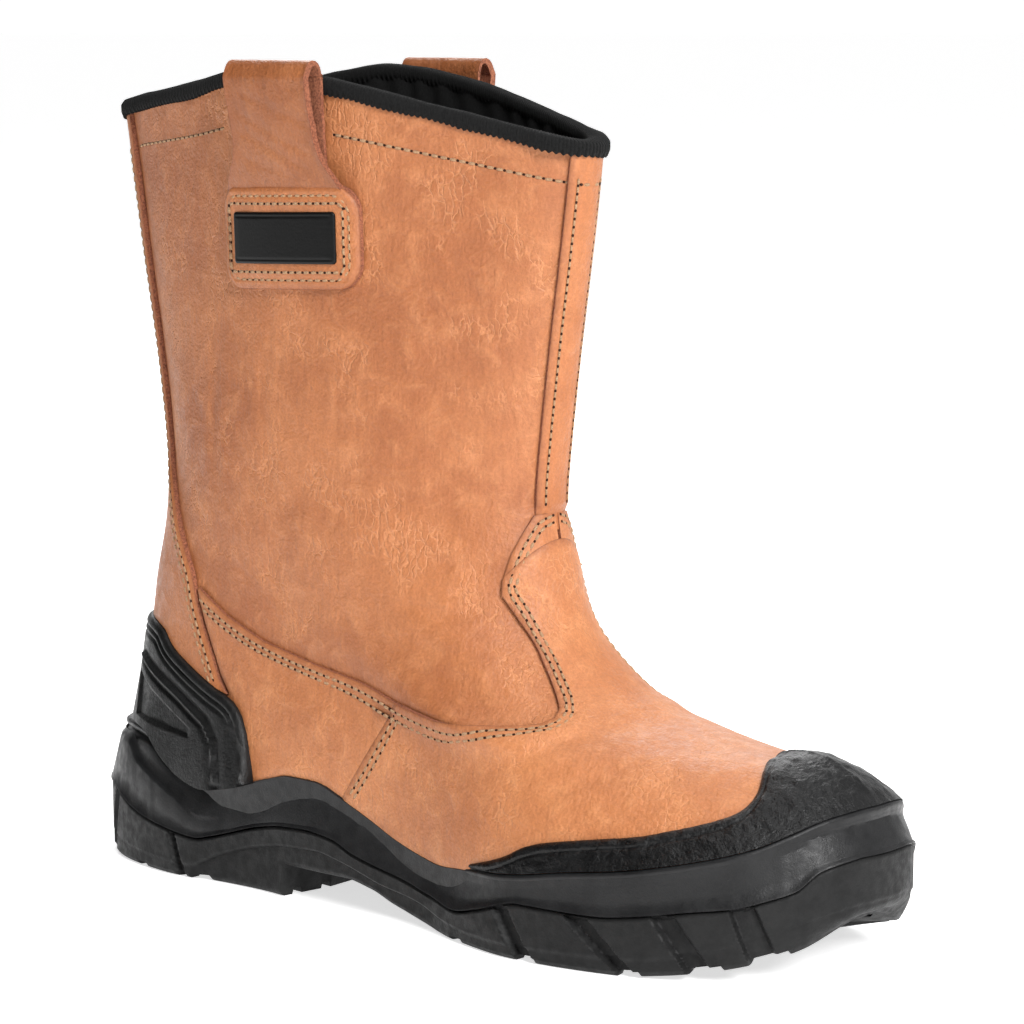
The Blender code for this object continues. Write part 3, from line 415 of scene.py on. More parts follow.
def unit(v):
    return v / np.maximum(np.linalg.norm(v, axis=-1, keepdims=True), 1e-9)


def skin_frame(turn, row):
    """Point, outward normal and the two surface slopes (per radian of turn, per row) of the skin."""
    turn, row = np.broadcast_arrays(np.asarray(turn, float), np.asarray(row, float))
    d = 1e-3
    low, high = np.maximum(row - d, 0), np.minimum(row + d, TOP_ROW)
    per_turn = (skin(turn + d, row) - skin(turn - d, row)) / (2 * d)
    per_row = (skin(turn, high) - skin(turn, low)) / (high - low)[..., None]
    return skin(turn, row), unit(np.cross(per_turn, per_row)), per_turn, per_row


def grid_faces(m, n, wrap_m=False, wrap_n=False, start=0):
    i = np.arange(m if wrap_m else m - 1)[:, None]
    j = np.arange(n if wrap_n else n - 1)[None, :]
    k, l = (i + 1) % m, (j + 1) % n
    quads = np.stack(np.broadcast_arrays(i * n + j, k * n + j, k * n + l, i * n + l), axis=-1)
    return start + quads.reshape(-1, 4)


def fan(quads):
    """Triangles of quads."""
    return np.concatenate([quads[:, [0, 1, 2]], quads[:, [0, 2, 3]]])


def new_object(
    name, points, faces, materials, replaces=(), slot=None, face_slot=None, fields=None, sharp=0.7
):
    """A mesh object from points and face arrays; it rides on the boot's one body."""
    faces = [np.asarray(f, np.int64) for f in faces if len(f)]
    if face_slot is not None:
        face_slot = np.concatenate([np.full(len(f), s) for f, s in zip(faces, face_slot)])
    points = np.asarray(points, float)
    volume = 0.0
    for f in faces:
        for k in range(1, f.shape[1] - 1):
            across = np.cross(points[f[:, k]], points[f[:, k + 1]])
            volume += np.einsum("ij,ij->i", points[f[:, 0]], across).sum()
    if volume < 0:
        faces = [f[:, ::-1] for f in faces]
    size = np.concatenate([np.full(len(f), f.shape[1]) for f in faces])
    loops = np.concatenate([f.reshape(-1) for f in faces])
    mesh = bpy.data.meshes.new(name)
    mesh.vertices.add(len(points))
    mesh.vertices.foreach_set("co", to_scene(points).astype(np.float32).ravel())
    mesh.loops.add(len(loops))
    mesh.loops.foreach_set("vertex_index", loops.astype(np.int32))
    mesh.polygons.add(len(size))
    mesh.polygons.foreach_set("loop_start", (np.cumsum(size) - size).astype(np.int32))
    for material in materials:
        mesh.materials.append(material)
    if face_slot is not None:
        mesh.polygons.foreach_set("material_index", face_slot.astype(np.int32))
    mesh.update(calc_edges=True)
    for key, values in (fields or {}).items():
        layer = mesh.attributes.new(key, "FLOAT", "POINT")
        layer.data.foreach_set("value", np.asarray(values, np.float32).ravel())
    mesh.validate()
    mesh.shade_smooth()
    if sharp:
        mesh.set_sharp_from_angle(angle=sharp)
    obj = bpy.data.objects.new(name, mesh)
    bpy.context.scene.collection.objects.link(obj)
    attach(obj, "root")
    if replaces:
        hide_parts(*replaces)
    return obj


def shell(name, outer, inner, materials, wrap=False, fields=None, edge_slot=0, under_slot=0, **more):
    """A closed sheet between two grids; axis 0 may close on itself. Fields are given on the outer grid."""
    m, n = outer.shape[:2]
    count = m * n
    top = grid_faces(m, n, wrap_m=wrap)
    under = grid_faces(m, n, wrap_m=wrap, start=count)[:, ::-1]
    ring = np.arange(m if wrap else m - 1)
    nxt = (ring + 1) % m
    walls = []
    for j, flip in ((0, False), (n - 1, True)):
        a, b = ring * n + j, nxt * n + j
        wall = np.stack([b, a, count + a, count + b], axis=1)
        walls.append(wall[:, ::-1] if flip else wall)
    if not wrap:
        side = np.arange(n - 1)
        for i, flip in ((0, False), (m - 1, True)):
            a, b = i * n + side, i * n + side + 1
            wall = np.stack([a, b, count + b, count + a], axis=1)
            walls.append(wall[:, ::-1] if flip else wall)
    both = {k: np.concatenate([v.ravel(), v.ravel()]) for k, v in (fields or {}).items()}
    points = np.concatenate([outer.reshape(-1, 3), inner.reshape(-1, 3)])
    slots = [0, under_slot, edge_slot]
    faces = [top, under, np.concatenate(walls)]
    return new_object(name, points, faces, materials, face_slot=slots, fields=both, **more)


def clip(values, faces, field):
    """Cuts a triangle mesh along field = 0, keeping the side below zero; values are vertex columns."""
    inside = field <= 0
    count = inside[faces].sum(axis=1)
    kept = [faces[count == 3]]
    cut = faces[(count == 1) | (count == 2)]
    lone = inside[cut].sum(axis=1) == 1
    first = (inside[cut] == lone[:, None]).argmax(axis=1)
    cut = cut[np.arange(len(cut))[:, None], (first[:, None] + np.arange(3)) % 3]
    a, b, c = cut.T
    edges = np.sort(np.concatenate([np.stack([a, b], 1), np.stack([a, c], 1)]), axis=1)
    total = len(values)
    keys, index = np.unique(edges[:, 0] * total + edges[:, 1], return_inverse=True)
    low, high = keys // total, keys % total
    share = field[low] / (field[low] - field[high])
    made = values[low] + share[:, None] * (values[high] - values[low])
    ab, ac = total + index[: len(cut)], total + index[len(cut) :]
    kept.append(np.stack([a, ab, ac], 1)[lone])
    kept.append(np.stack([ab, b, c], 1)[~lone])
    kept.append(np.stack([ab, c, ac], 1)[~lone])
    faces = np.concatenate(kept)
    values = np.concatenate([values, made])
    used, faces = np.unique(faces, return_inverse=True)
    return values[used], faces.reshape(-1, 3)


def border(faces, total):
    """Directed edges that only one face has."""
    edges = np.concatenate([faces[:, [0, 1]], faces[:, [1, 2]], faces[:, [2, 0]]])
    there = edges[:, 0] * total + edges[:, 1]
    back = edges[:, 1] * total + edges[:, 0]
    return edges[~np.isin(there, back)]


def cut_sheet(name, turns, rows, field, place, thick, materials, edge_round=0.5, **more):
    """Leather cut along field = 0 on the skin, with its thickness and a separate material on the cut edge."""
    values = np.stack([turns.ravel(), rows.ravel(), field.ravel()], axis=1)
    values, faces = clip(values, fan(grid_faces(*turns.shape)), field.ravel())
    turn, row, deep = values.T
    point, normal = skin_frame(turn, row)[:2]
    out = place(point)
    rounded = edge_round * np.exp(-np.maximum(-deep, 0) / 0.6)
    top = point + (out - rounded)[:, None] * normal
    low = point + (out - thick)[:, None] * normal
    edges = border(faces, len(values))
    count = len(values)
    walls = np.stack([edges[:, 1], edges[:, 0], count + edges[:, 0], count + edges[:, 1]], axis=1)
    fields = {"edge_mm": np.concatenate([-deep, -deep])}
    return new_object(
        name, np.concatenate([top, low]), [faces, count + faces[:, ::-1], walls], materials,
        face_slot=[0, 0, 1], fields=fields, **more,
    )


def lattice_noise(points, size, seed):
    """Smooth noise between -1 and 1 with cells of the given size in millimetres."""
    p = np.asarray(points, float) / size + seed * 17.31
    i = np.floor(p).astype(np.int64)
    f = p - i
    f = f * f * (3 - 2 * f)

    def corner(dx, dy, dz):
        h = (i[..., 0] + dx) * 374761393 + (i[..., 1] + dy) * 668265263 + (i[..., 2] + dz) * 1440662683
        h = (h ^ (h >> 13)) * 1274126177
        return ((h ^ (h >> 16)) & 0xFFFF) / 32767.5 - 1

    total = 0.0
    for dx in (0, 1):
        for dy in (0, 1):
            for dz in (0, 1):
                weight = np.ones(p.shape[:-1])
                for axis, d in enumerate((dx, dy, dz)):
                    weight = weight * (f[..., axis] if d else 1 - f[..., axis])
                total = total + weight * corner(dx, dy, dz)
    return total


def line_distance(points, line):
    """Distance from each point to a polyline, and how far along it the nearest place lies."""
    line = np.asarray(line, float)
    best = np.full(points.shape[:-1], 1e9)
    place = np.zeros(points.shape[:-1])
    run = 0.0
    for a, b in zip(line[:-1], line[1:]):
        ab = b - a
        length = max(float(np.linalg.norm(ab)), 1e-9)
        s = np.clip(((points - a) @ ab) / length**2, 0, 1)
        d = np.linalg.norm(points - a - s[..., None] * ab, axis=-1)
        closer = d < best
        best = np.where(closer, d, best)
        place = np.where(closer, run + s * length, place)
        run += length
    return best, place


def in_polygon(y, z, outline):
    inside = np.zeros(np.shape(y), bool)
    outline = np.asarray(outline, float)
    for (y0, z0), (y1, z1) in zip(outline, np.roll(outline, -1, axis=0)):
        if z0 == z1:
            continue
        crosses = ((z0 > z) != (z1 > z)) & (y < (y1 - y0) * (z - z0) / (z1 - z0) + y0)
        inside ^= crosses
    return inside


def run_length(points):
    """How far along a line of points each one lies."""
    return np.concatenate([[0], np.cumsum(np.linalg.norm(np.diff(points, axis=0), axis=1))])


def at_places(places, run, values):
    """Rows of values read at places along the run."""
    return np.stack([np.interp(places, run, column) for column in values.T], axis=1)


def smooth_line(points, count):
    """The polyline with its corners eased, at count places of equal length."""
    points = np.asarray(points, float)
    for _ in range(2):
        ahead = points[:-1] * 0.75 + points[1:] * 0.25
        behind = points[:-1] * 0.25 + points[1:] * 0.75
        eased = np.stack([ahead, behind], 1).reshape(-1, points.shape[1])
        points = np.concatenate([points[:1], eased, points[-1:]])
    return even_line(points, count)


def even_line(points, count):
    """The same line at count places of equal length."""
    points = np.asarray(points, float)
    run = run_length(points)
    return at_places(np.linspace(0, run[-1], count), run, points)


def shifted(path, mm):
    """A path of (turn, row) moved sideways over the skin, to the left as seen from outside along the path."""
    path = np.asarray(path, float)
    point, normal, per_turn, per_row = skin_frame(path[:, 0], path[:, 1])
    along = unit(np.gradient(point, axis=0))
    left = unit(np.cross(normal, along))
    # least squares step in turn and row that makes the sideways step
    aa, bb = (per_turn**2).sum(-1), (per_row**2).sum(-1)
    ab = (per_turn * per_row).sum(-1)
    ta, tb = (per_turn * left).sum(-1), (per_row * left).sum(-1)
    det = aa * bb - ab * ab
    step = np.stack([(ta * bb - tb * ab) / det, (tb * aa - ta * ab) / det], axis=1)
    mm = np.broadcast_to(mm, len(path))
    return path + step * mm[:, None]


def other_side(path):
    """The same path on the inner side of the foot."""
    return np.stack([2 * np.pi - path[:, 0], path[:, 1]], axis=1)


# Materials

def add(nt, kind, inputs=(), **settings):
    made = nt.nodes.new(kind)
    for key, value in settings.items():
        setattr(made, key, value)
    for key, value in dict(inputs).items():
        if isinstance(value, bpy.types.NodeSocket):
            nt.links.new(value, made.inputs[key])
        else:
            made.inputs[key].default_value = value
    return made


def start_material(name):
    made = bpy.data.materials.new(name)
    made.use_nodes = True
    nt = made.node_tree
    place = add(nt, "ShaderNodeTexCoord").outputs["Object"]
    mm = add(nt, "ShaderNodeVectorMath", {0: place, 1: (1000, 1000, 1000)}, operation="MULTIPLY").outputs[0]
    return made, nt, nt.nodes["Principled BSDF"], mm


def stretch(nt, mm, scale):
    return add(nt, "ShaderNodeVectorMath", {0: mm, 1: scale}, operation="MULTIPLY").outputs[0]


def noise(nt, vector, scale, detail=3.0, rough=0.55, warp=0.0):
    inputs = {"Vector": vector, "Scale": scale, "Detail": detail, "Roughness": rough, "Distortion": warp}
    return add(nt, "ShaderNodeTexNoise", inputs).outputs["Fac"]


def cells(nt, vector, scale, feature="F1"):
    inputs = {"Vector": vector, "Scale": scale}
    return add(nt, "ShaderNodeTexVoronoi", inputs, feature=feature).outputs["Distance"]


def ramp(nt, value, low, high, to_low=0.0, to_high=1.0):
    inputs = {0: value, 1: low, 2: high, 3: to_low, 4: to_high}
    return add(nt, "ShaderNodeMapRange", inputs, interpolation_type="SMOOTHSTEP").outputs[0]


def scaled(nt, colour, factor):
    return add(nt, "ShaderNodeVectorMath", {0: colour, 3: factor}, operation="SCALE").outputs[0]


def dot(nt, first, second):
    inputs = {0: first, 1: second}
    return add(nt, "ShaderNodeVectorMath", inputs, operation="DOT_PRODUCT").outputs["Value"]


def mix(nt, share, first, second):
    return add(nt, "ShaderNodeMix", {0: share, 6: first, 7: second}, data_type="RGBA").outputs[2]


def maths(nt, operation, first, second=0.0):
    return add(nt, "ShaderNodeMath", {0: first, 1: second}, operation=operation).outputs[0]


def bump(nt, height, distance, normal=None, strength=1.0):
    inputs = {"Height": height, "Distance": distance, "Strength": strength}
    if normal is not None:
        inputs["Normal"] = normal
    return add(nt, "ShaderNodeBump", inputs).outputs[0]


def leather(name, dark, mid, light, raw=(0.26, 0.085, 0.035, 1), wrinkle=1.0):
    made, nt, shader, mm = start_material(name)
    cloud = noise(nt, mm, 0.022, 4.0, 0.6)
    patchy = noise(nt, mm, 0.11, 5.0, 0.65, 0.6)
    colour = mix(nt, ramp(nt, cloud, 0.34, 0.66), dark, mid)
    colour = mix(nt, ramp(nt, patchy, 0.46, 0.75, 0, 0.65), colour, light)
    tall = stretch(nt, mm, (1, 1, 0.42))
    sway = add(nt, "ShaderNodeTexNoise", {"Vector": mm, "Scale": 0.16, "Detail": 4.0}).outputs["Color"]
    bent = add(nt, "ShaderNodeVectorMath", {0: tall, 1: stretch(nt, sway, (7, 7, 7))}, operation="ADD")
    lines = ramp(nt, cells(nt, bent.outputs[0], 0.34, "DISTANCE_TO_EDGE"), 0.0, 0.12, 1, 0)
    where = ramp(nt, noise(nt, mm, 0.045, 2.0), 0.47, 0.62)
    lines = maths(nt, "MULTIPLY", lines, where)
    paled = (light[0] * 1.12, light[1] * 1.16, light[2] * 1.2, 1)
    colour = mix(nt, maths(nt, "MULTIPLY", lines, 0.6 * wrinkle), colour, paled)
    specks = ramp(nt, noise(nt, mm, 1.1, 3.0, 0.75), 0.32, 0.68, 0.9, 1.08)
    colour = scaled(nt, colour, specks)
    streak = noise(nt, stretch(nt, mm, (1, 1, 0.2)), 0.55, 4.0, 0.65)
    colour = scaled(nt, colour, ramp(nt, streak, 0.3, 0.7, 0.95, 1.06))
    edge = add(nt, "ShaderNodeAttribute", attribute_name="edge_mm").outputs["Fac"]
    near_edge = ramp(nt, edge, 0.2, 2.6, 1, 0)
    rubbed = maths(nt, "MULTIPLY", near_edge, ramp(nt, noise(nt, mm, 0.5), 0.3, 0.6, 0.45, 1))
    colour = mix(nt, maths(nt, "MULTIPLY", rubbed, 0.55), colour, raw)
    # Painted shade: the top face darkens to a deep brown within half a millimetre of its cut edge
    edge_shade = maths(nt, "MULTIPLY", ramp(nt, edge, -0.2, 0.5, 1, 0), 0.6)
    colour = mix(nt, edge_shade, colour, (0.1, 0.035, 0.018, 1))
    nt.links.new(colour, shader.inputs["Base Color"])
    shader.inputs["Specular IOR Level"].default_value = 0.38
    rough = ramp(nt, noise(nt, mm, 0.25, 4.0), 0.3, 0.7, 0.36, 0.54)
    nt.links.new(rough, shader.inputs["Roughness"])
    grain = bump(nt, cells(nt, mm, 0.9), 0.00018, strength=0.7)
    fine = bump(nt, noise(nt, mm, 2.2, 4.0, 0.7), 0.00016, grain, 0.7)
    wrinkled = bump(nt, maths(nt, "SUBTRACT", 1.0, lines), 0.00022, fine, 0.8 * wrinkle)
    streaked = bump(nt, streak, 0.0004, wrinkled, 0.6)
    nt.links.new(bump(nt, patchy, 0.0011, streaked, 0.6), shader.inputs["Normal"])
    return made


def raw_edge(name, colour, deep):
    made, nt, shader, mm = start_material(name)
    fibre = noise(nt, mm, 1.3, 5.0, 0.75)
    nt.links.new(mix(nt, ramp(nt, fibre, 0.35, 0.65), deep, colour), shader.inputs["Base Color"])
    shader.inputs["Roughness"].default_value = 0.9
    nt.links.new(bump(nt, fibre, 0.0006, strength=0.9), shader.inputs["Normal"])
    return made


def rubber(name, low, high, grain_size, depth, rough_low, rough_high, dust=0.25):
    made, nt, shader, mm = start_material(name)
    cloud = noise(nt, mm, 0.05, 5.0, 0.7)
    colour = mix(nt, ramp(nt, cloud, 0.35, 0.65), low, high)
    scuff = ramp(nt, noise(nt, stretch(nt, mm, (1, 0.35, 1)), 0.5, 6.0, 0.8), 0.66, 0.85)
    colour = mix(nt, maths(nt, "MULTIPLY", scuff, dust), colour, (0.05, 0.048, 0.046, 1))
    shader.inputs["Specular IOR Level"].default_value = 0.26
    nt.links.new(colour, shader.inputs["Base Color"])
    rough = ramp(nt, noise(nt, mm, 0.3, 4.0), 0.3, 0.7, rough_low, rough_high)
    nt.links.new(rough, shader.inputs["Roughness"])
    grain = bump(nt, noise(nt, mm, grain_size, 4.0, 0.65), depth, strength=0.8)
    nt.links.new(bump(nt, cloud, 0.0006, grain, 0.35), shader.inputs["Normal"])
    return made


def cloth(name, low, high, size, depth, sheen=0.3):
    made, nt, shader, mm = start_material(name)
    fluff = noise(nt, mm, size, 5.0, 0.75, 0.8)
    nt.links.new(mix(nt, ramp(nt, fluff, 0.35, 0.65), low, high), shader.inputs["Base Color"])
    shader.inputs["Roughness"].default_value = 0.95
    shader.inputs["Sheen Weight"].default_value = sheen
    shader.inputs["Specular IOR Level"].default_value = 0.2
    nt.links.new(bump(nt, fluff, depth, strength=0.9), shader.inputs["Normal"])
    return made


def plate(name):
    made, nt, shader, mm = start_material(name)
    brush = noise(nt, stretch(nt, mm, (1, 0.2, 3)), 0.8, 3.0)
    colour = mix(nt, brush, (0.0025, 0.0025, 0.0025, 1), (0.006, 0.006, 0.006, 1))
    nt.links.new(colour, shader.inputs["Base Color"])
    nt.links.new(ramp(nt, brush, 0.3, 0.7, 0.28, 0.42), shader.inputs["Roughness"])
    shader.inputs["Specular IOR Level"].default_value = 0.18
    nt.links.new(bump(nt, noise(nt, mm, 1.1, 3.0), 0.00012, strength=0.5), shader.inputs["Normal"])
    return made


SHAFT_LEATHER = leather(
    "shaft_leather", (0.33, 0.11, 0.04, 1), (0.43, 0.158, 0.06, 1), (0.51, 0.205, 0.085, 1)
)
PANEL_LEATHER = leather(
    "panel_leather", (0.4, 0.142, 0.053, 1), (0.49, 0.188, 0.073, 1), (0.57, 0.24, 0.1, 1), wrinkle=0.7
)
STRIP_LEATHER = leather(
    "strip_leather", (0.38, 0.13, 0.045, 1), (0.43, 0.155, 0.056, 1), (0.49, 0.188, 0.074, 1), wrinkle=0.5
)
# Strap leather: a darker copy of the leather, painted shade for the strap, which sits in shade on the boot
SHADED_LOOP_STRAP = leather(
    "loop_strap_shaded", (0.25, 0.08, 0.027, 1), (0.31, 0.105, 0.037, 1), (0.38, 0.14, 0.052, 1), wrinkle=0.4
)
RAW_EDGE = raw_edge("raw_edge", (0.36, 0.125, 0.06, 1), (0.15, 0.042, 0.02, 1))
THREAD = cloth("thread", (0.26, 0.145, 0.075, 1), (0.46, 0.29, 0.165, 1), 2.5, 0.0002, 0.1)
# Needle holes: near-black cloth, painted shade for the shaded inside of each hole
HOLE_SHADE = cloth("needle_hole_shade", (0.02, 0.008, 0.005, 1), (0.04, 0.015, 0.008, 1), 2.0, 0.0001, 0.0)
TAPE = cloth("binding_tape", (0.003, 0.003, 0.003, 1), (0.009, 0.009, 0.009, 1), 1.6, 0.00025, 0.02)
LINING = cloth("fleece_lining", (0.012, 0.008, 0.006, 1), (0.05, 0.034, 0.025, 1), 0.55, 0.0012, 0.2)
FELT = cloth("insole_felt", (0.018, 0.016, 0.015, 1), (0.05, 0.045, 0.04, 1), 0.9, 0.0006, 0.3)
SOLE = rubber("sole_rubber", (0.008, 0.008, 0.0085, 1), (0.014, 0.014, 0.0145, 1), 1.4, 0.00012, 0.32, 0.5)
COUNTER = rubber(
    "counter_rubber", (0.004, 0.004, 0.004, 1), (0.008, 0.008, 0.008, 1), 0.9, 0.0003, 0.34, 0.52
)
BUMPER = rubber(
    "bumper_rubber", (0.003, 0.003, 0.0032, 1), (0.007, 0.007, 0.0072, 1), 0.42, 0.0010, 0.27, 0.45
)
OUTSOLE = rubber("outsole_rubber", (0.004, 0.004, 0.0042, 1), (0.008, 0.008, 0.008, 1), 1.0, 0.0002, 0.5, 0.7)
PLATE = plate("black_plate")


# Upper

def crease_depth(y, z):
    """Dents and swells of worn leather at side-view places, in millimetres outward."""
    total = np.zeros(np.shape(y))
    places = np.stack(np.broadcast_arrays(y, z), axis=-1)
    for depth, width, line in CREASES:
        away, run = line_distance(places, line)
        length = np.linalg.norm(np.diff(np.array(line), axis=0), axis=1).sum()
        ends = np.sin(np.pi * np.clip(run / length, 0.02, 0.98)) ** 0.6
        total -= depth * np.exp(-((away / width) ** 2)) * ends
        total += 0.45 * depth * np.exp(-(((away - 1.9 * width) / width) ** 2)) * ends
    return total


def worn(points, amount=1.0):
    """Soft unevenness of the leather."""
    slow = lattice_noise(points * np.array([1, 1, 0.6]), 34.0, 1)
    quick = lattice_noise(points * np.array([1, 1, 0.5]), 11.0, 2)
    return amount * (0.55 * slow + 0.2 * quick)


def under_lip(points):
    """1 well below the sole's upper edge, 0 above it."""
    return np.clip((table(MIDSOLE_TOP)(points[..., 1]) + 1.5 - points[..., 2]) / 4, 0, 1)


def upper_shell():
    around = np.linspace(0, 2 * np.pi, 300, endpoint=False)
    turns, rows = np.meshgrid(around, np.linspace(0.02, TOP_ROW, 150), indexing="ij")
    point, normal = skin_frame(turns, rows)[:2]
    calm = np.clip((TOP_ROW - rows) / 0.5, 0, 1)
    stand = (worn(point) - 0.25 + crease_depth(point[..., 1], point[..., 2])) * calm - 1.2 * under_lip(point)
    outer = point + stand[..., None] * normal
    inner = point - (SHAFT_WALL + 0.25 * lattice_noise(point, 6.0, 5))[..., None] * normal
    return shell(
        "shaft_leather", outer, inner, [SHAFT_LEATHER, LINING], wrap=True, slot="upper_leather",
        replaces=["upper"], fields={"edge_mm": np.full(turns.shape, 50.0)}, under_slot=1,
    )


def seam_side(y, z):
    """How far a side-view place lies ahead of the side seam, in millimetres."""
    a, b = (skin(np.pi * share, row)[1:] for share, row in SEAM)
    along = (b - a) / np.linalg.norm(b - a)
    return (y - a[0]) * -along[1] + (z - a[1]) * along[0]


def panel_dents(point):
    """Unevenness and creases of the lower panels, pressed in under the sole's lip."""
    tucked = under_lip(point)
    dents = worn(point, 0.7) + crease_depth(point[:, 1], point[:, 2])
    return dents * (1 - tucked) - 0.9 * tucked


def panels():
    """Vamp and both quarters, cut from the skin; the quarters run on under the vamp."""
    outline = np.array(panel_outline())
    closed = np.concatenate([outline, outline[:1]])
    turns, rows = np.meshgrid(np.pi * np.linspace(0, 2, 341), np.linspace(0.05, 10.6, 160), indexing="ij")
    point = skin(turns, rows)
    y, z = point[..., 1], point[..., 2]
    away = line_distance(point[..., 1:], closed)[0]
    field = np.where(in_polygon(y, z, outline), -away, away)
    ahead = seam_side(y, z)
    field = np.maximum(field, table(MIDSOLE_TOP)(y) - 5 - z)

    def sheet(name, part, cut, stand, thick):
        def place(p):
            return stand + panel_dents(p)

        cut_sheet(
            name, turns[part], rows[part], cut[part], place, thick, [PANEL_LEATHER, RAW_EDGE],
            replaces=["upper"], slot="upper_leather",
        )

    sheet("vamp", slice(None), np.maximum(field, -ahead), VAMP_STAND, VAMP_THICK)
    half = turns.shape[0] // 2
    for name, part in (("quarter_lateral", slice(0, half)), ("quarter_medial", slice(half + 1, None))):
        sheet(name, part, np.maximum(field, ahead - SEAM_OVERLAP), QUARTER_STAND, QUARTER_THICK)


def strip(name, turns, rows, across_mm, half_mm):
    """A raised strip with eased edges; across_mm is each point's distance from the strip's middle line."""
    point, normal = skin_frame(turns, rows)[:2]
    edge = half_mm - np.abs(across_mm)
    crown = GAP + STRIP_THICK - 0.8 * np.exp(-np.maximum(edge, 0) / 0.9) + worn(point, 0.5)
    crown -= 0.3 * np.exp(-(((edge - 3.0) / 0.8) ** 2))
    crown -= 1.3 * np.clip((136.5 - point[..., 2]) / 3, 0, 1) * (point[..., 1] > 100)
    outer = point + crown[..., None] * normal
    inner = point - 0.3 * normal
    return shell(
        name, outer, inner, [STRIP_LEATHER, RAW_EDGE], slot="strip_leather", replaces=[name],
        fields={"edge_mm": edge}, edge_slot=1,
    )


def strips():
    bottom = row_at_height(np.array([np.pi]), 128.0, top=TOP_ROW)[0]
    rows = np.linspace(bottom, TOP_ROW - 0.03, 130)
    arc = FRONT_STRIP_HALF * np.linspace(-1, 1, 27)
    turns = turn_for_arc(rows, arc)
    level, across_mm = (np.broadcast_to(v, turns.shape) for v in (rows[:, None], arc))
    strip("front_strip", turns, level, across_mm, FRONT_STRIP_HALF)
    edge = table(BACKSTAY)
    across = np.linspace(-1, 1, 71)
    low = np.full(across.shape, 3.5)
    for _ in range(40):
        low = 0.5 * low + 0.5 * (table(COUNTER_EDGE)(np.abs(across) * edge(low)) + 0.02)
    t = np.linspace(0, 1, 130)
    rows = low[None, :] + (TOP_ROW - 0.03 - low)[None, :] * t[:, None]
    turns = np.pi * across[None, :] * edge(rows)
    point = skin(turns, rows)
    steps = np.linalg.norm(np.diff(point, axis=1), axis=-1)
    run = np.concatenate([np.zeros((len(t), 1)), np.cumsum(steps, axis=1)], axis=1)
    half = run[:, -1:] / 2
    strip("back_strip", turns, rows, run - half, half)


def collar_binding():
    """Ribbed tape rolled over the rim, with a pinked lower edge."""
    count = 2400
    turns = np.arange(count) * 2 * np.pi / count
    top = np.full(count, TOP_ROW)
    ends = np.minimum(np.abs(np.sin(turns / 2)), np.abs(np.cos(turns / 2)))
    over = np.clip((0.27 - ends) / 0.06, 0, 1) * (STRIP_THICK + GAP)
    rim = skin(turns, top)
    run = run_length(rim)
    rib = np.abs(np.sin(np.pi * run / 1.05)) - 0.5
    pucker = 0.35 * lattice_noise(np.stack([run / 7, run * 0, run * 0], 1), 1.0, 3)
    per_mm = 1 / np.linalg.norm(skin(turns, TOP_ROW) - skin(turns, TOP_ROW - 1), axis=-1)
    teeth = 0.35 * np.sin(2 * np.pi * run / 2.1)
    drop = TOP_ROW - (BINDING_TALL + teeth + pucker) * per_mm
    fat = 0.28 * rib + 0.5 * pucker
    inside = -SHAFT_WALL - GAP

    def at(row, offset, up):
        points = skin_out(turns, row, np.broadcast_to(offset, turns.shape))
        return points + np.array([0, 0, 1.0]) * np.broadcast_to(up, turns.shape)[:, None]

    mid = (TOP_ROW + drop) / 2
    sections = [
        at(drop, over + 0.1, 0),
        at(drop, over + 1.0 + 0.4 * fat, 0),
        at(mid, over + 1.5 + fat, 0),
        at(top, over + 1.35 + fat, 0.1),
        at(top, over + 0.7 + 0.3 * fat, 1.0 + 0.5 * fat),
        at(top, 0.3 * over - 1.0, 1.45 + fat),
        at(top, inside - 0.7, 1.0 + 0.5 * fat),
        at(top, inside - 1.3 - fat, 0.1),
        at(mid, inside - 1.4 - fat, 0),
        at(drop, inside - 0.8, 0),
        at(drop, inside + 0.2, 0),
        at(top, inside + 0.4, 0.2),
        at(top, over - 0.1, 0.2),
    ]
    grid = np.stack(sections, axis=1)
    new_object(
        "collar_binding", grid.reshape(-1, 3), [grid_faces(count, len(sections), True, True)], [TAPE],
        replaces=["collar_binding"], slot="binding_tape", sharp=None,
    )


def collar_facing():
    """The tape's inner fall, gathered into small upright folds."""
    count = 900
    turns = np.arange(count) * 2 * np.pi / count
    rim = skin(turns, np.full(count, TOP_ROW))
    run = run_length(rim)[:, None]
    depth = np.linspace(0, 24, 20)[None, :]
    per_mm = 1 / np.linalg.norm(skin(turns, TOP_ROW) - skin(turns, TOP_ROW - 1), axis=-1)
    rows = TOP_ROW - depth * per_mm[:, None]
    grid_turns = np.broadcast_to(turns[:, None], rows.shape)
    fold = 0.5 * np.sin(run / 1.9 + 1.2 * np.sin(run / 11)) * np.clip(depth / 6, 0, 1)
    stand = -SHAFT_WALL - 1.0 - fold - 0.2 * np.exp(-depth / 3)
    face, back = skin_out(grid_turns, rows, stand), skin_out(grid_turns, rows, stand + 0.8)
    shell("collar_facing", back, face, [TAPE], wrap=True)


def sheet_on_side(y, z, out, side):
    """Points off the shaft at side-view places; over the rim they go straight up."""
    turn, row = place_on_side(y, z)
    points = skin_out(turn, row, np.broadcast_to(out, turn.shape))
    points[..., 1] = y
    points[..., 2] = z
    return points * np.array([side, 1, 1])


def patch_places(side, size, corner, b_share, a_share):
    half_w, half_h = size[0] / 2, size[1] / 2
    b = np.asarray(b_share) * half_h
    deep = np.maximum(np.abs(b) - (half_h - corner), 0)
    half = half_w - corner + np.sqrt(np.maximum(corner**2 - deep**2, 0.05))
    a = half[:, None] * np.asarray(a_share)[None, :]
    b = np.broadcast_to(b[:, None], a.shape)
    edge = np.minimum(half[:, None] - np.abs(a), half_h - np.abs(b))
    return LOOP_Y[side] + a - LOOP_LEAN * b, PATCH_Z + b + LOOP_LEAN * a, edge


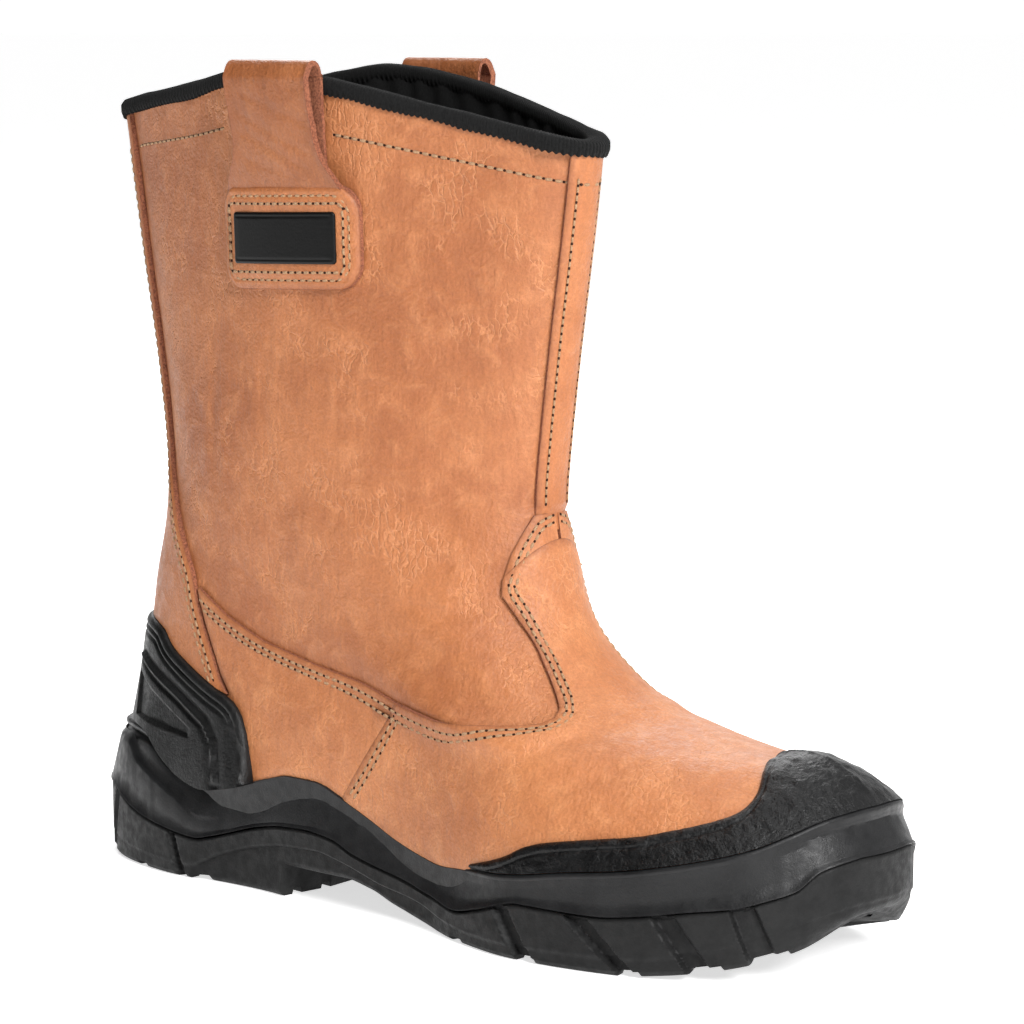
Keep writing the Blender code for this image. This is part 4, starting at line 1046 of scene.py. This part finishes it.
def pull_loop(name, side):
    patch_top = PATCH_Z + PATCH_SIZE[1] / 2
    rim = float(skin(np.array(np.pi / 2), np.array(TOP_ROW))[2])
    section = (
        (1.2, patch_top - 8), (1.3, patch_top - 2), (1.8, patch_top + 7), (2.7, rim - 5), (2.9, rim + 1),
        (3.0, LOOP_TOP - 7), (3.7, LOOP_TOP - 2.4), (6.1, LOOP_TOP - 1.0), (8.6, LOOP_TOP - 2.2),
        (10.1, LOOP_TOP - 6), (10.5, rim), (9.5, rim - 8), (7.2, rim - 18), (4.3, patch_top + 2.5),
        (2.3, patch_top - 1.5), (1.6, patch_top - 8),
    )
    path = smooth_line(section, 90)
    run = unit(np.gradient(path, axis=0))
    left = np.column_stack([-run[:, 1], run[:, 0]]) * LOOP_LEATHER / 2
    across = np.linspace(-1, 1, 25)
    front = np.linspace(0, 1, len(path)) > 0.45

    def sheet(line, bulge):
        z = np.broadcast_to(line[:, 1:2], (len(line), len(across)))
        spread = table(STRAP_SPREAD)(np.maximum(z - PATCH_Z, 0)) * front[:, None]
        y = LOOP_Y[side] - LOOP_LEAN * (z - PATCH_Z) + across[None, :] * (LOOP_WIDTH / 2 + spread)
        edge = LOOP_WIDTH / 2 * (1 - np.abs(across))[None, :]
        round_edge = -0.35 * np.exp(-edge / 0.8) * bulge
        soft = lattice_noise(np.stack([y * 0 + side * 40, y, z * 0.7], -1), 13.0, 7)
        out = line[:, 0:1] + round_edge + 0.4 * soft + strap_crease(y - LOOP_Y[side], z)
        return sheet_on_side(y, z, out, side), np.broadcast_to(edge, z.shape)

    outer, edge = sheet(path + left, -1)
    inner, _ = sheet(path - left, 1)
    shell(
        name, outer, inner, [SHADED_LOOP_STRAP, RAW_EDGE], slot="loop_leather", replaces=[name],
        fields={"edge_mm": edge}, edge_slot=1, under_slot=1,
    )
    t = np.linspace(-1, 1, 61)
    b = np.sign(t) * (1 - (1 - np.abs(t)) ** 1.5)
    a = np.linspace(-1, 1, 81)
    a = np.sign(a) * (1 - (1 - np.abs(a)) ** 1.3)
    y, z, edge = patch_places(side, PATCH_SIZE, PATCH_CORNER, b, a)
    high = sheet_on_side(y, z, patch_rise(side, y, z, edge), side)
    low = sheet_on_side(y, z, np.full(y.shape, 0.1), side)
    shell(
        name + "_patch", high, low, [STRIP_LEATHER, RAW_EDGE], slot="loop_leather", replaces=[name],
        fields={"edge_mm": edge}, edge_slot=1,
    )


def patch_rise(side, y, z, edge):
    """Stand-off of the stitched patch: thin at its edge, raised over the strap's ends along its top."""
    full = np.clip(edge / 6, 0, 1) ** 0.7
    rise = PATCH_EDGE + (PATCH_MIDDLE - PATCH_EDGE) * full - 0.8 * np.exp(-edge / 0.8)
    soft = lattice_noise(np.stack([y * 0 + side * 40, y, z], -1), 9.0, 8)
    rise = rise + 0.25 * soft * np.clip(edge / 5, 0, 1)
    top = z - PATCH_Z - LOOP_LEAN * (y - LOOP_Y[side]) - PATCH_SIZE[1] / 2
    return rise + 1.6 * np.exp(-((top / 6) ** 2)) - 0.35 * np.exp(-(((edge - 3.2) / 0.8) ** 2))


def strap_crease(a, z):
    """Slanting folds across the strap."""
    places = np.stack([a, z], axis=-1)
    total = np.zeros(a.shape)
    for line in STRAP_FOLDS:
        total -= 0.4 * np.exp(-((line_distance(places, line)[0] / 1.1) ** 2))
    return total


# Stitching

THREADS = {"points": [], "faces": [], "total": 0}
HOLE_SHADES = {"points": [], "faces": [], "total": 0}


def collect(store, points, faces):
    store["points"].append(points)
    store["faces"].append(faces + store["total"])
    store["total"] += len(points)


def sew(points, normals, pitch, thick=0.52):
    """Lays stitches along a run of points on the leather, with a dark disc of painted shade at each needle
    hole.
    """
    run = run_length(points)
    count = max(int(run[-1] / pitch), 1)
    places = (np.arange(count) + 0.5) * run[-1] / count
    middle = at_places(places, run, points)
    ahead = at_places(places + 0.3, run, points)
    behind = at_places(places - 0.3, run, points)
    normal = unit(at_places(places, run, normals))
    along = unit(ahead - behind)
    side = unit(np.cross(normal, along))
    s = np.linspace(-1, 1, 7)
    length = 0.40 * pitch
    lift = 0.3 * np.sqrt(np.maximum(1 - s**4, 0)) - 0.26
    radius = thick * (0.35 + 0.65 * np.sqrt(np.maximum(1 - s**2, 0)))
    angle = np.arange(6) * np.pi / 3
    tilt = 0.1 * s * thick
    body = (
        middle[:, None, None, :]
        + (s * length)[None, :, None, None] * along[:, None, None, :]
        + (lift[:, None] + radius[:, None] * np.sin(angle) * 0.8)[None, ..., None] * normal[:, None, None, :]
        + (tilt[:, None] + radius[:, None] * np.cos(angle))[None, ..., None] * side[:, None, None, :]
    )
    m, n = len(s), len(angle)
    quads = grid_faces(m, n, False, True)
    caps = np.array([[0, 5, 4, 3], [0, 3, 2, 1]])
    caps = np.concatenate([caps, (m - 1) * n + caps[:, ::-1]])
    one = np.concatenate([quads, caps])
    faces = (np.arange(count) * m * n)[:, None, None] + one[None]
    collect(THREADS, body.reshape(-1, 3), faces.reshape(-1, 4))
    # Needle holes: near-black discs sunk into the leather, painted shade where each hole's inside falls dark
    spots = middle - along * 0.5 * (run[-1] / count)
    rim = np.arange(6) * np.pi / 3
    disc = (
        spots[:, None, :]
        + 0.54 * np.cos(rim)[None, :, None] * along[:, None, :]
        + 0.46 * np.sin(rim)[None, :, None] * side[:, None, :]
    )
    high, low = disc + 0.07 * normal[:, None, :], disc - 0.9 * normal[:, None, :]
    solid = np.concatenate([high, low], axis=1).reshape(-1, 3)
    i = np.arange(6)
    k = (i + 1) % 6
    walls = np.stack([i, i + 6, k + 6, k], axis=1)
    one = np.concatenate([walls, [[0, 1, 2, 3], [0, 3, 4, 5]], [[9, 8, 7, 6], [11, 10, 9, 6]]])
    faces = (np.arange(count) * 12)[:, None, None] + one[None]
    collect(HOLE_SHADES, solid, faces.reshape(-1, 4))


def sew_on_skin(path, out, pitch=3.2, thick=0.52):
    path = even_line(path, max(len(path), 160))
    point, normal = skin_frame(path[:, 0], path[:, 1])[:2]
    sew(point + np.asarray(out)[..., None] * normal, normal, pitch, thick)


def on_side(path, side):
    """The path on the outer side (1) or the inner side (-1) of the foot."""
    return path if side == 1 else other_side(path)


def panel_stitches(side):
    """Two rows along the upper edge of vamp and quarter, and two along the side seam."""
    front_row = row_at_height(np.array([np.pi]), PEAK_STITCH_Z, top=TOP_ROW)[0]
    places = np.array(PANEL_EDGE[1:])
    turn, row = place_on_side(places[1:, 0], places[1:, 1])
    edge = np.concatenate([[[np.pi * PEAK_STITCH_TURN, front_row]], np.stack([turn, row], axis=1)])
    edge = smooth_line(edge, 260)
    for inside in (2.4, 4.5):
        path = shifted(edge, inside)
        point = skin(path[:, 0], path[:, 1])
        ahead = seam_side(point[:, 1], point[:, 2])
        dent = worn(point, 0.7) + crease_depth(point[:, 1], point[:, 2])
        stay = np.pi * (table(BACKSTAY)(path[:, 1]) + 0.006)
        keep = (path[:, 0] < np.pi * PEAK_STITCH_TURN) & (path[:, 1] < front_row) & (path[:, 0] > stay)
        out = (np.where(ahead > 0, VAMP_STAND, QUARTER_STAND) + dent)[keep]
        out = np.interp(np.linspace(0, 1, max(len(out), 160)), np.linspace(0, 1, len(out)), out)
        sew_on_skin(on_side(path[keep], side), out)
    top, low = (np.array([np.pi * s, r]) for s, r in SEAM)
    ease = (top - low) * 0.02
    seam = smooth_line(np.array([top + ease, top, (top + low) / 2, low + ease]), 160)
    for inside in (2.2, 4.3):
        path = shifted(seam, inside)
        point = skin(path[:, 0], path[:, 1])
        sew_on_skin(on_side(path, side), VAMP_STAND + worn(point, 0.7))


def strip_stitches(side):
    """Two rows along the backstay's edge and one along the front strip's."""
    stay_rows = np.linspace(3.4, TOP_ROW - 0.45, 160)
    stay = np.stack([np.pi * table(BACKSTAY)(stay_rows), stay_rows], axis=1)
    for inside in (2.2, 4.3):
        path = shifted(stay, inside)
        out = GAP + STRIP_THICK + worn(skin(path[:, 0], path[:, 1]), 0.5) - 0.1
        sew_on_skin(on_side(path, side), out)
    rows = np.linspace(10.4, TOP_ROW - 0.4, 160)
    path = np.stack([turn_for_arc(rows, np.array([FRONT_STRIP_HALF - 2.8]))[:, 0], rows], axis=1)
    out = GAP + STRIP_THICK + worn(skin(path[:, 0], path[:, 1]), 0.5) - 0.1
    sew_on_skin(on_side(path, side), out, 2.6, 0.45)


def collar_stitches(side):
    """One row under the collar tape, on the shaft and over the front strip."""
    for first, last in ((0.145, 0.4), (0.565, 0.95)):
        turn = np.pi * np.linspace(first, last, 160)
        path = np.stack([turn, np.full(160, COLLAR_STITCH_ROW)], axis=1)
        point = skin(turn, path[:, 1])
        sew_on_skin(on_side(path, side), worn(point) - 0.2 + crease_depth(point[:, 1], point[:, 2]))
    turn = np.pi * np.linspace(0.962, 0.998, 160)
    path = np.stack([turn, np.full(160, COLLAR_STITCH_ROW)], axis=1)
    sew_on_skin(on_side(path, side), np.full(160, GAP + STRIP_THICK - 0.05))


def patch_stitches(side):
    """A ring near the patch's edge and one round the badge's place."""
    patch_ring = ((PATCH_SIZE[0] - 6.4, PATCH_SIZE[1] - 6.4), PATCH_CORNER - 3)
    badge_ring = ((BADGE_SIZE[0] + 5.5, BADGE_SIZE[1] + 5.5), 2.0)
    for size, corner in (patch_ring, badge_ring):
        ring = rounded_ring(size, corner)
        y = LOOP_Y[side] + ring[:, 0] - LOOP_LEAN * ring[:, 1]
        z = PATCH_Z + ring[:, 1] + LOOP_LEAN * ring[:, 0]
        edge = 3.2 if corner > 2 else 7.0
        high = sheet_on_side(y, z, patch_rise(side, y, z, np.full(y.shape, edge)) - 0.05, side)
        base = sheet_on_side(y, z, np.full(y.shape, 0.0), side)
        sew(high, unit(high - base), 3.0)


def stitching():
    for side in (1, -1):
        panel_stitches(side)
        strip_stitches(side)
        collar_stitches(side)
        patch_stitches(side)
    for name, store, look in (("stitches", THREADS, THREAD), ("needle_hole_shades", HOLE_SHADES, HOLE_SHADE)):
        points, faces = (np.concatenate(store[key]) for key in ("points", "faces"))
        new_object(name, points, [faces], [look], sharp=None)


def rounded_ring(size, corner):
    w, h = size[0] / 2 - corner, size[1] / 2 - corner
    pieces = []
    for cx, cy, start in ((w, h, 0), (-w, h, 90), (-w, -h, 180), (w, -h, 270)):
        a = np.radians(np.linspace(start, start + 90, 8))
        pieces.append(np.stack([cx + corner * np.cos(a), cy + corner * np.sin(a)], axis=1))
    ring = np.concatenate(pieces)
    return even_line(np.concatenate([ring, ring[:1]]), 240)


def badge():
    t = 1 - (1 - np.abs(np.linspace(-1, 1, 41))) ** 1.6
    t *= np.sign(np.linspace(-1, 1, 41))
    y, z, edge = patch_places(1, BADGE_SIZE, 1.2, t, t)
    line = 0.22 * np.exp(-(((edge - 1.4) / 0.3) ** 2))
    high = sheet_on_side(y, z, PATCH_MIDDLE + GAP + BADGE_THICK - 0.6 * np.exp(-edge / 0.35) - line, 1)
    low = sheet_on_side(y, z, np.full(y.shape, PATCH_MIDDLE - 0.3), 1)
    shell("badge", high, low, [PLATE], replaces=["badge"], slot="badge_plate")


# Rubber

def sole_ring(stations, out, z):
    return np.column_stack([sole_edge(stations, out), np.broadcast_to(z, (2 * len(stations) - 2,))])


def fine_stations(count):
    turn = np.linspace(0, np.pi, count)
    mixed = 0.6 * (1 - np.cos(turn)) / 2 + 0.4 * turn / np.pi
    return HEEL_Y + SOLE_LENGTH * mixed


def close_rings(name, rings, materials, **more):
    """A closed body from rings; both ends are closed straight across the width."""
    rings = np.array(rings)
    count, n = rings.shape[:2]
    last = (count - 1) * n
    j = np.arange(1, n // 2 - 1)
    strips_across = np.stack([j, n - j, n - j - 1, j + 1], axis=1)
    ends = np.array([[0, n - 1, 1], [n // 2 - 1, n // 2 + 1, n // 2]])
    sides = grid_faces(count, n, False, True)
    quads = np.concatenate([sides, strips_across, last + strips_across[:, ::-1]])
    triangles = np.concatenate([ends, last + ends[:, ::-1]])
    return new_object(name, rings.reshape(-1, 3), [quads, triangles], materials, **more)


def midsole():
    stations = fine_stations(420)
    wall = sole_edge(stations)
    y = wall[:, 1]
    part = table(PARTING)(y)
    z_top = table(MIDSOLE_TOP)(y)
    z_wedge = np.clip(table(WEDGE)(y), part + 2, z_top - 3)
    top_in = table(MIDSOLE_TOP_IN)(y)
    wedge_out, crease = table(WEDGE_OUT)(y), table(CREASE_IN)(y)
    turns = turns_of(stations)
    ends = girth_row(1.5)
    beside = np.arccos(1 - 2 * np.clip((y - ends[0]) / (ends[2] - ends[0]), 0, 1))
    beside = np.where(turns > np.pi, 2 * np.pi - beside, beside)
    near = np.clip(np.minimum(y - HEEL_Y, HEEL_Y + SOLE_LENGTH - y) / 40, 0, 1)
    turns = turns + (beside - turns) * near * near * (3 - 2 * near)
    row = row_at_height(turns, z_top - 1.2)
    lip = skin_out(turns, row, np.full_like(row, PANEL_STEP + 0.2))
    floor_ring = skin_out(turns, np.zeros_like(row), np.full_like(row, PANEL_STEP))
    floor_ring[:, 2] = bed(floor_ring[:, 1]) - GAP
    inner = sole_edge(stations, -INTERFACE_INSET)
    low = np.column_stack([inner, np.minimum(bed(inner[:, 1]) - TRAY_FLOOR, part)])
    flash = 0.45 + 0.3 * lattice_noise(np.column_stack([wall, part]), 5.0, 4)
    scuff = 0.12 * lattice_noise(np.column_stack([wall, part]), 3.0, 6)
    bead = 1 - np.clip((y - 262) / 20, 0, 1)
    height = z_top - (z_wedge + 1.6)
    flat = np.clip((y - 56) / 12, 0, 1)
    rings = [low]

    def ring(out, z):
        straight = -top_in * np.clip((z - part) / (z_top - 4.5 - part), 0, 1) ** 1.2 + scuff
        rings.append(sole_ring(stations, out + (straight - out) * flat, z))

    rings.append(sole_ring(stations, -0.6, part + 0.1))
    rings.append(sole_ring(stations, 0.35 + flash * 0.5, part + 0.25))
    rings.append(sole_ring(stations, 0.25 + flash * 0.4, part + 0.8))
    ring(scuff, part + 1.3)
    ring(wedge_out * 0.35 + scuff, part + (z_wedge - part) * 0.4)
    ring(wedge_out + scuff, z_wedge - 0.6)
    ring(wedge_out - 0.3, z_wedge + 0.2)
    ring(-crease * 0.8 + 0.1, z_wedge + 1.0)
    ring(-crease, z_wedge + 1.9)
    ring(-crease + (crease - top_in) * 0.5, z_wedge + 1.6 + height * 0.3)
    ring(-crease + (crease - top_in) * 0.75, z_top - 5.2)
    rings += [
        sole_ring(stations, -top_in - 0.2, z_top - 4.2),
        sole_ring(stations, -top_in - 1.6 * bead, z_top - 3.7),
        sole_ring(stations, -top_in - 1.7 * bead, z_top - 3.1),
        sole_ring(stations, -top_in - 0.35 * bead, z_top - 2.5),
        sole_ring(stations, -top_in + 0.3, z_top - 1.6),
        sole_ring(stations, -top_in + 0.1, z_top - 0.6),
        sole_ring(stations, -top_in - 0.7, z_top - 0.05),
        0.55 * sole_ring(stations, -top_in - 1.6, z_top - 0.2) + 0.45 * lip,
        lip,
        floor_ring,
    ]
    close_rings("midsole", rings, [SOLE], replaces=["midsole"], slot="sole_rubber", sharp=0.9)


HEEL_CUTS = ((7.0, 11.0, -1.0, 4.0), (43.0, 46.0, 47.0, 51.0))  # slanted cuts in the heel, as in GROOVES


def groove_depth(y, z):
    """Depth of the slanted side grooves at side-view places."""
    depth = np.zeros(np.shape(y))
    for top_a, top_b, low_a, low_b in GROOVES + HEEL_CUTS:
        part = float(table(PARTING)(top_b))
        share = np.clip((part - z) / part, 0, 1.3)
        start, end = top_a + (low_a - top_a) * share, top_b + (low_b - top_b) * share
        inside = np.minimum(y - start, end - y)
        depth = np.maximum(depth, GROOVE_DEPTH * np.clip(inside / 0.7 + 0.5, 0, 1) * (z < part - 1.0))
    return depth


def channel_depth(y):
    depth = np.zeros(np.shape(y))
    for start, end in [(a - 1, b) for _, _, a, b in GROOVES] + list(CHANNELS):
        depth = np.maximum(depth, TREAD_DEPTH * np.clip(np.minimum(y - start, end - y) / 0.8 + 0.5, 0, 1))
    return depth


def outsole():
    stations = fine_stations(560)
    wall = sole_edge(stations)
    y = wall[:, 1]
    part = table(PARTING)(y) - 0.35
    rim = np.minimum(table(ARCH_RIM)(y), part - 3)
    low = table(BOTTOM)(y)
    recess = table(ARCH_RECESS)(y)
    inner = sole_edge(stations, -INTERFACE_INSET)
    rings = [np.column_stack([inner, np.minimum(bed(inner[:, 1]) - TRAY_FLOOR, part + 0.35) - 0.6])]

    def ring(out, z):
        z = np.broadcast_to(z, y.shape)
        rings.append(sole_ring(stations, out - groove_depth(y, z), z))

    ring(-0.7, part)
    ring(-0.25, part - 0.35)
    ring(0.05, part - 0.9)
    for share in np.linspace(0.05, 0.95, 14):
        ring(0.0 - 0.1 * share, part - 0.9 + (rim + 1.2 - part) * share)
    ring(-0.1, rim + 0.4)
    ring(-0.5, rim - 0.2)
    ring(-recess, rim - 1.0)
    tread = channel_depth(y)
    curl = 5.5 * np.clip((y - 286) / 23, 0, 1) ** 1.5
    for share in np.linspace(0.06, 0.94, 14):
        z = rim - 1.0 + (low + 1.6 - rim + 1.0) * share
        ring(-recess - 0.1 * share - curl * share**2, z)
    recess = recess + curl
    ring(-recess - 0.2, low + 1.6 + tread * 0.2)
    ring(-recess - 0.9, low + 0.5 + tread * 0.8)
    ring(-recess - 2.0, low + tread)
    # lugs under the sole: rings further in carry lengthwise slots
    for inward, slot_cut in LUG_RINGS:
        inset = np.minimum(inward, 0.4 + np.abs(wall[:, 0] - swing(y)) * 0.8)
        grip = np.clip((np.minimum(y - HEEL_Y, HEEL_Y + SOLE_LENGTH - y) - 12) / 6, 0, 1) * (low < 4)
        rings.append(sole_ring(stations, -recess - inset, low + np.maximum(tread, slot_cut * grip)))
    close_rings("outsole", rings, [OUTSOLE], replaces=["outsole"], slot="sole_rubber", sharp=0.8)


def heel_counter():
    half = np.linspace(0, 0.3395, 90)
    share = np.concatenate([half[:0:-1], half])
    turn = np.pi * np.concatenate([-half[:0:-1], half])
    base = PANEL_STEP + GAP
    low_row = np.full_like(turn, 1.5)
    for _ in range(8):
        lip = skin_out(turn, low_row, np.full_like(turn, base + COUNTER_THICK + COUNTER_FLARE))
        rise = skin(turn, low_row)[:, 2] - lip[:, 2]
        sunk = 2.4 * np.clip((share - 0.2) / 0.08, 0, 1)
        height = table(MIDSOLE_TOP)(lip[:, 1]) + np.maximum(rise, 0) + 0.3 - sunk
        low_row = row_at_height(turn, height)
    top_row = np.maximum(table(COUNTER_EDGE)(share), low_row + 0.25)
    t = np.linspace(0, 1, 110)
    rows = low_row[:, None] + (top_row - low_row)[:, None] * t
    turns = np.broadcast_to(turn[:, None], rows.shape)
    point, normal = skin_frame(turns, rows)[:2]
    outer_side = point[len(half) - 1 :, -1, 1:]
    away = line_distance(point[..., 1:], outer_side)[0]
    front = line_distance(point[..., 1:], point[-1, :, 1:])[0]
    edge = np.minimum(away, front + 0.4)
    stand = base + COUNTER_THICK - 1.5 * np.exp(-edge / 0.8) + COUNTER_FLARE * (1 - t) ** 2
    for deep, place, width in ((0.8, 3.2, 0.55), (0.7, 5.4, 0.6)):
        stand = stand - deep * np.exp(-(((edge - place) / width) ** 2))
    places = point[..., 1:]
    away = line_distance(places, COUNTER_RIDGE)[0]
    stand = stand + 0.9 * np.exp(-((away / 0.9) ** 2)) - 0.7 * np.exp(-(((away - 2.0) / 0.9) ** 2))
    panel = in_polygon(places[..., 0], places[..., 1], COUNTER_PANEL)
    near = line_distance(places, list(COUNTER_PANEL) + [COUNTER_PANEL[0]])[0]
    stand = stand - 1.1 * np.where(panel, np.clip(near / 0.8, 0, 1), 0)
    outer = point + stand[..., None] * normal
    inner = point + base * normal
    shell("heel_counter", outer, inner, [COUNTER], replaces=["heel_counter"], slot="sole_rubber", sharp=0.9)


def toe_bumper():
    half = np.linspace(0.576, 1, 110)
    share = np.concatenate([half, half[-2::-1]])
    turn = np.pi * np.concatenate([half, 2 - half[-2::-1]])
    stations = fine_stations(300)
    wall_y = sole_edge(stations)[:, 1]
    edge = sole_edge(stations, -table(MIDSOLE_TOP_IN)(wall_y) - 0.1)
    edge = np.column_stack([edge, table(MIDSOLE_TOP)(wall_y) + 0.2])
    foot = np.column_stack([np.interp(turn, turns_of(stations), line) for line in edge.T])
    low_row = row_at_height(turn, foot[:, 2] - 0.6)
    top_row = np.maximum(table(BUMPER_EDGE)(share), low_row + 0.12)
    t = np.linspace(0, 1, 80)
    rows = low_row[:, None] + (top_row - low_row)[:, None] * t
    turns = np.broadcast_to(turn[:, None], rows.shape)
    base = PANEL_STEP + GAP
    point, normal = skin_frame(turns, rows)[:2]
    tall = np.linalg.norm(point[:, -1] - point[:, 0], axis=-1)[:, None] * (1 - t)
    bulge = BUMPER_BULGE * np.clip((share - 0.8) / 0.2, 0, 1)
    stand = base + BUMPER_THICK - 1.6 * np.exp(-tall / 0.9) + bulge[:, None] * 4 * t * (1 - t)
    stand = stand - 0.45 * np.exp(-(((tall - 3.0) / 0.5) ** 2))
    middle = np.abs(turns - np.pi) * 32
    stand = stand + 0.35 * np.exp(-((middle / 0.6) ** 2)) + 0.28 * lattice_noise(point, 3.2, 9)
    stand = stand + 0.2 * lattice_noise(point, 1.6, 10)
    outer = point + stand[..., None] * normal
    outer += ((1 - t) ** 2)[None, :, None] * (foot - outer[:, 0])[:, None, :]
    inner = point + base * normal
    shell("toe_bumper", outer, inner, [BUMPER], replaces=["toe_bumper"], slot="sole_rubber", sharp=0.9)


def footbed():
    stations = fine_stations(160)
    turns = turns_of(stations)
    row = row_at_height(turns, bed(skin(turns, 0.0)[:, 1]) + INSOLE_THICK)
    edge = skin_out(turns, row, np.full_like(turns, -SHAFT_WALL - 1.2))
    low, high = edge.copy(), edge.copy()
    low[:, 2] = bed(edge[:, 1])
    high[:, 2] = bed(edge[:, 1]) + INSOLE_THICK - 0.6
    top = high.copy()
    top[:, 0] = 0.97 * (edge[:, 0] - swing(edge[:, 1])) + swing(edge[:, 1])
    top[:, 2] += 0.6
    close_rings("footbed", [low, high, top], [FELT], replaces=["insole"], slot="insole_felt")


# Stage

def camera():
    turn, lean = np.radians(CAMERA_TURN), np.radians(CAMERA_LEAN)
    t = np.array([np.cos(turn), np.sin(turn), 0])
    r = np.array([-np.sin(turn), np.cos(turn), 0])
    up = np.array([0, 0, 1.0])
    place = (CAMERA_AWAY * t + CAMERA_BESIDE * r + CAMERA_HEIGHT * up + SHIFT) / 1000
    ahead = -t * np.cos(lean) - up * np.sin(lean)
    top = -t * np.sin(lean) + up * np.cos(lean)
    made = bpy.data.objects.new("camera", bpy.data.cameras.new("camera"))
    made.data.sensor_width = SENSOR
    made.data.lens = FOCAL_PIXELS * SENSOR / PHOTO_PIXELS
    made.data.clip_end = 50
    made.matrix_world = Matrix([[r[i], top[i], -ahead[i], place[i]] for i in range(3)] + [[0, 0, 0, 1]])
    bpy.context.scene.collection.objects.link(made)
    bpy.context.scene.camera = made


def light(name, place, aim, size, watts):
    lamp = bpy.data.lights.new(name, "AREA")
    lamp.shape = "SQUARE"
    lamp.size = size
    lamp.energy = watts
    made = bpy.data.objects.new(name, lamp)
    made.location = place
    made.rotation_euler = (Vector(aim) - Vector(place)).to_track_quat("-Z", "Y").to_euler()
    bpy.context.scene.collection.objects.link(made)


def pale_floor():
    angle = np.arange(FLOOR_CORNERS) * 2 * np.pi / FLOOR_CORNERS
    ring = np.stack([FLOOR_RADIUS * np.cos(angle), FLOOR_RADIUS * np.sin(angle), angle * 0], axis=1)
    mesh = bpy.data.meshes.new("floor")
    mesh.from_pydata(ring.tolist(), [], [list(range(FLOOR_CORNERS))])
    made, nt, shader, mm = start_material("floor")
    shade = ramp(nt, noise(nt, mm, 0.01, 3.0), 0.3, 0.7, 0.9, 0.93)
    grey = add(nt, "ShaderNodeCombineColor", {0: shade, 1: shade, 2: shade}).outputs[0]
    nt.links.new(grey, shader.inputs["Base Color"])
    shader.inputs["Roughness"].default_value = 0.9
    shader.inputs["Specular IOR Level"].default_value = 0.1
    shader.inputs["Emission Color"].default_value = (1, 1, 1, 1)
    shader.inputs["Emission Strength"].default_value = 0.66
    mesh.materials.append(made)
    floor = bpy.data.objects.new("floor", mesh)
    bpy.context.scene.collection.objects.link(floor)


def room():
    """A white backdrop behind the boot, dimmer walls elsewhere."""
    world = bpy.data.worlds.new("studio")
    world.use_nodes = True
    nt = world.node_tree
    direction = add(nt, "ShaderNodeTexCoord").outputs["Generated"]
    facing = dot(nt, direction, (-0.766, -0.643, 0))
    left = dot(nt, direction, (0.643, -0.766, 0))
    wall = add(nt, "ShaderNodeMapRange", {0: left, 1: -0.4, 2: 0.6, 3: 0.56, 4: 0.0}).outputs[0]
    tone = add(nt, "ShaderNodeMapRange", {0: facing, 1: 0.72, 2: 0.93, 3: wall, 4: 1.05}).outputs[0]
    nt.nodes["Background"].inputs[0].default_value = (1, 1, 1, 1)
    nt.links.new(tone, nt.nodes["Background"].inputs[1])
    bpy.context.scene.world = world
    bpy.context.scene.view_settings.view_transform = "Standard"


def lamps():
    light("key", (0.9, 2.0, 1.4), (0, 0.05, 0.1), 0.8, 72)
    light("fill", (1.9, -1.2, 1.0), (0, 0, 0.12), 1.2, 1.5)
    light("top", (0.1, 0.0, 2.2), (0, 0, 0.1), 1.4, 19)
    light("rim", (-1.2, -1.0, 1.2), (0, 0, 0.15), 1.0, 14)


upper_shell()
panels()
strips()
collar_binding()
collar_facing()
pull_loop("pull_loop_lateral", 1)
pull_loop("pull_loop_medial", -1)
stitching()
midsole()
outsole()
heel_counter()
toe_bumper()
footbed()
badge()
camera()
pale_floor()
room()
lamps()
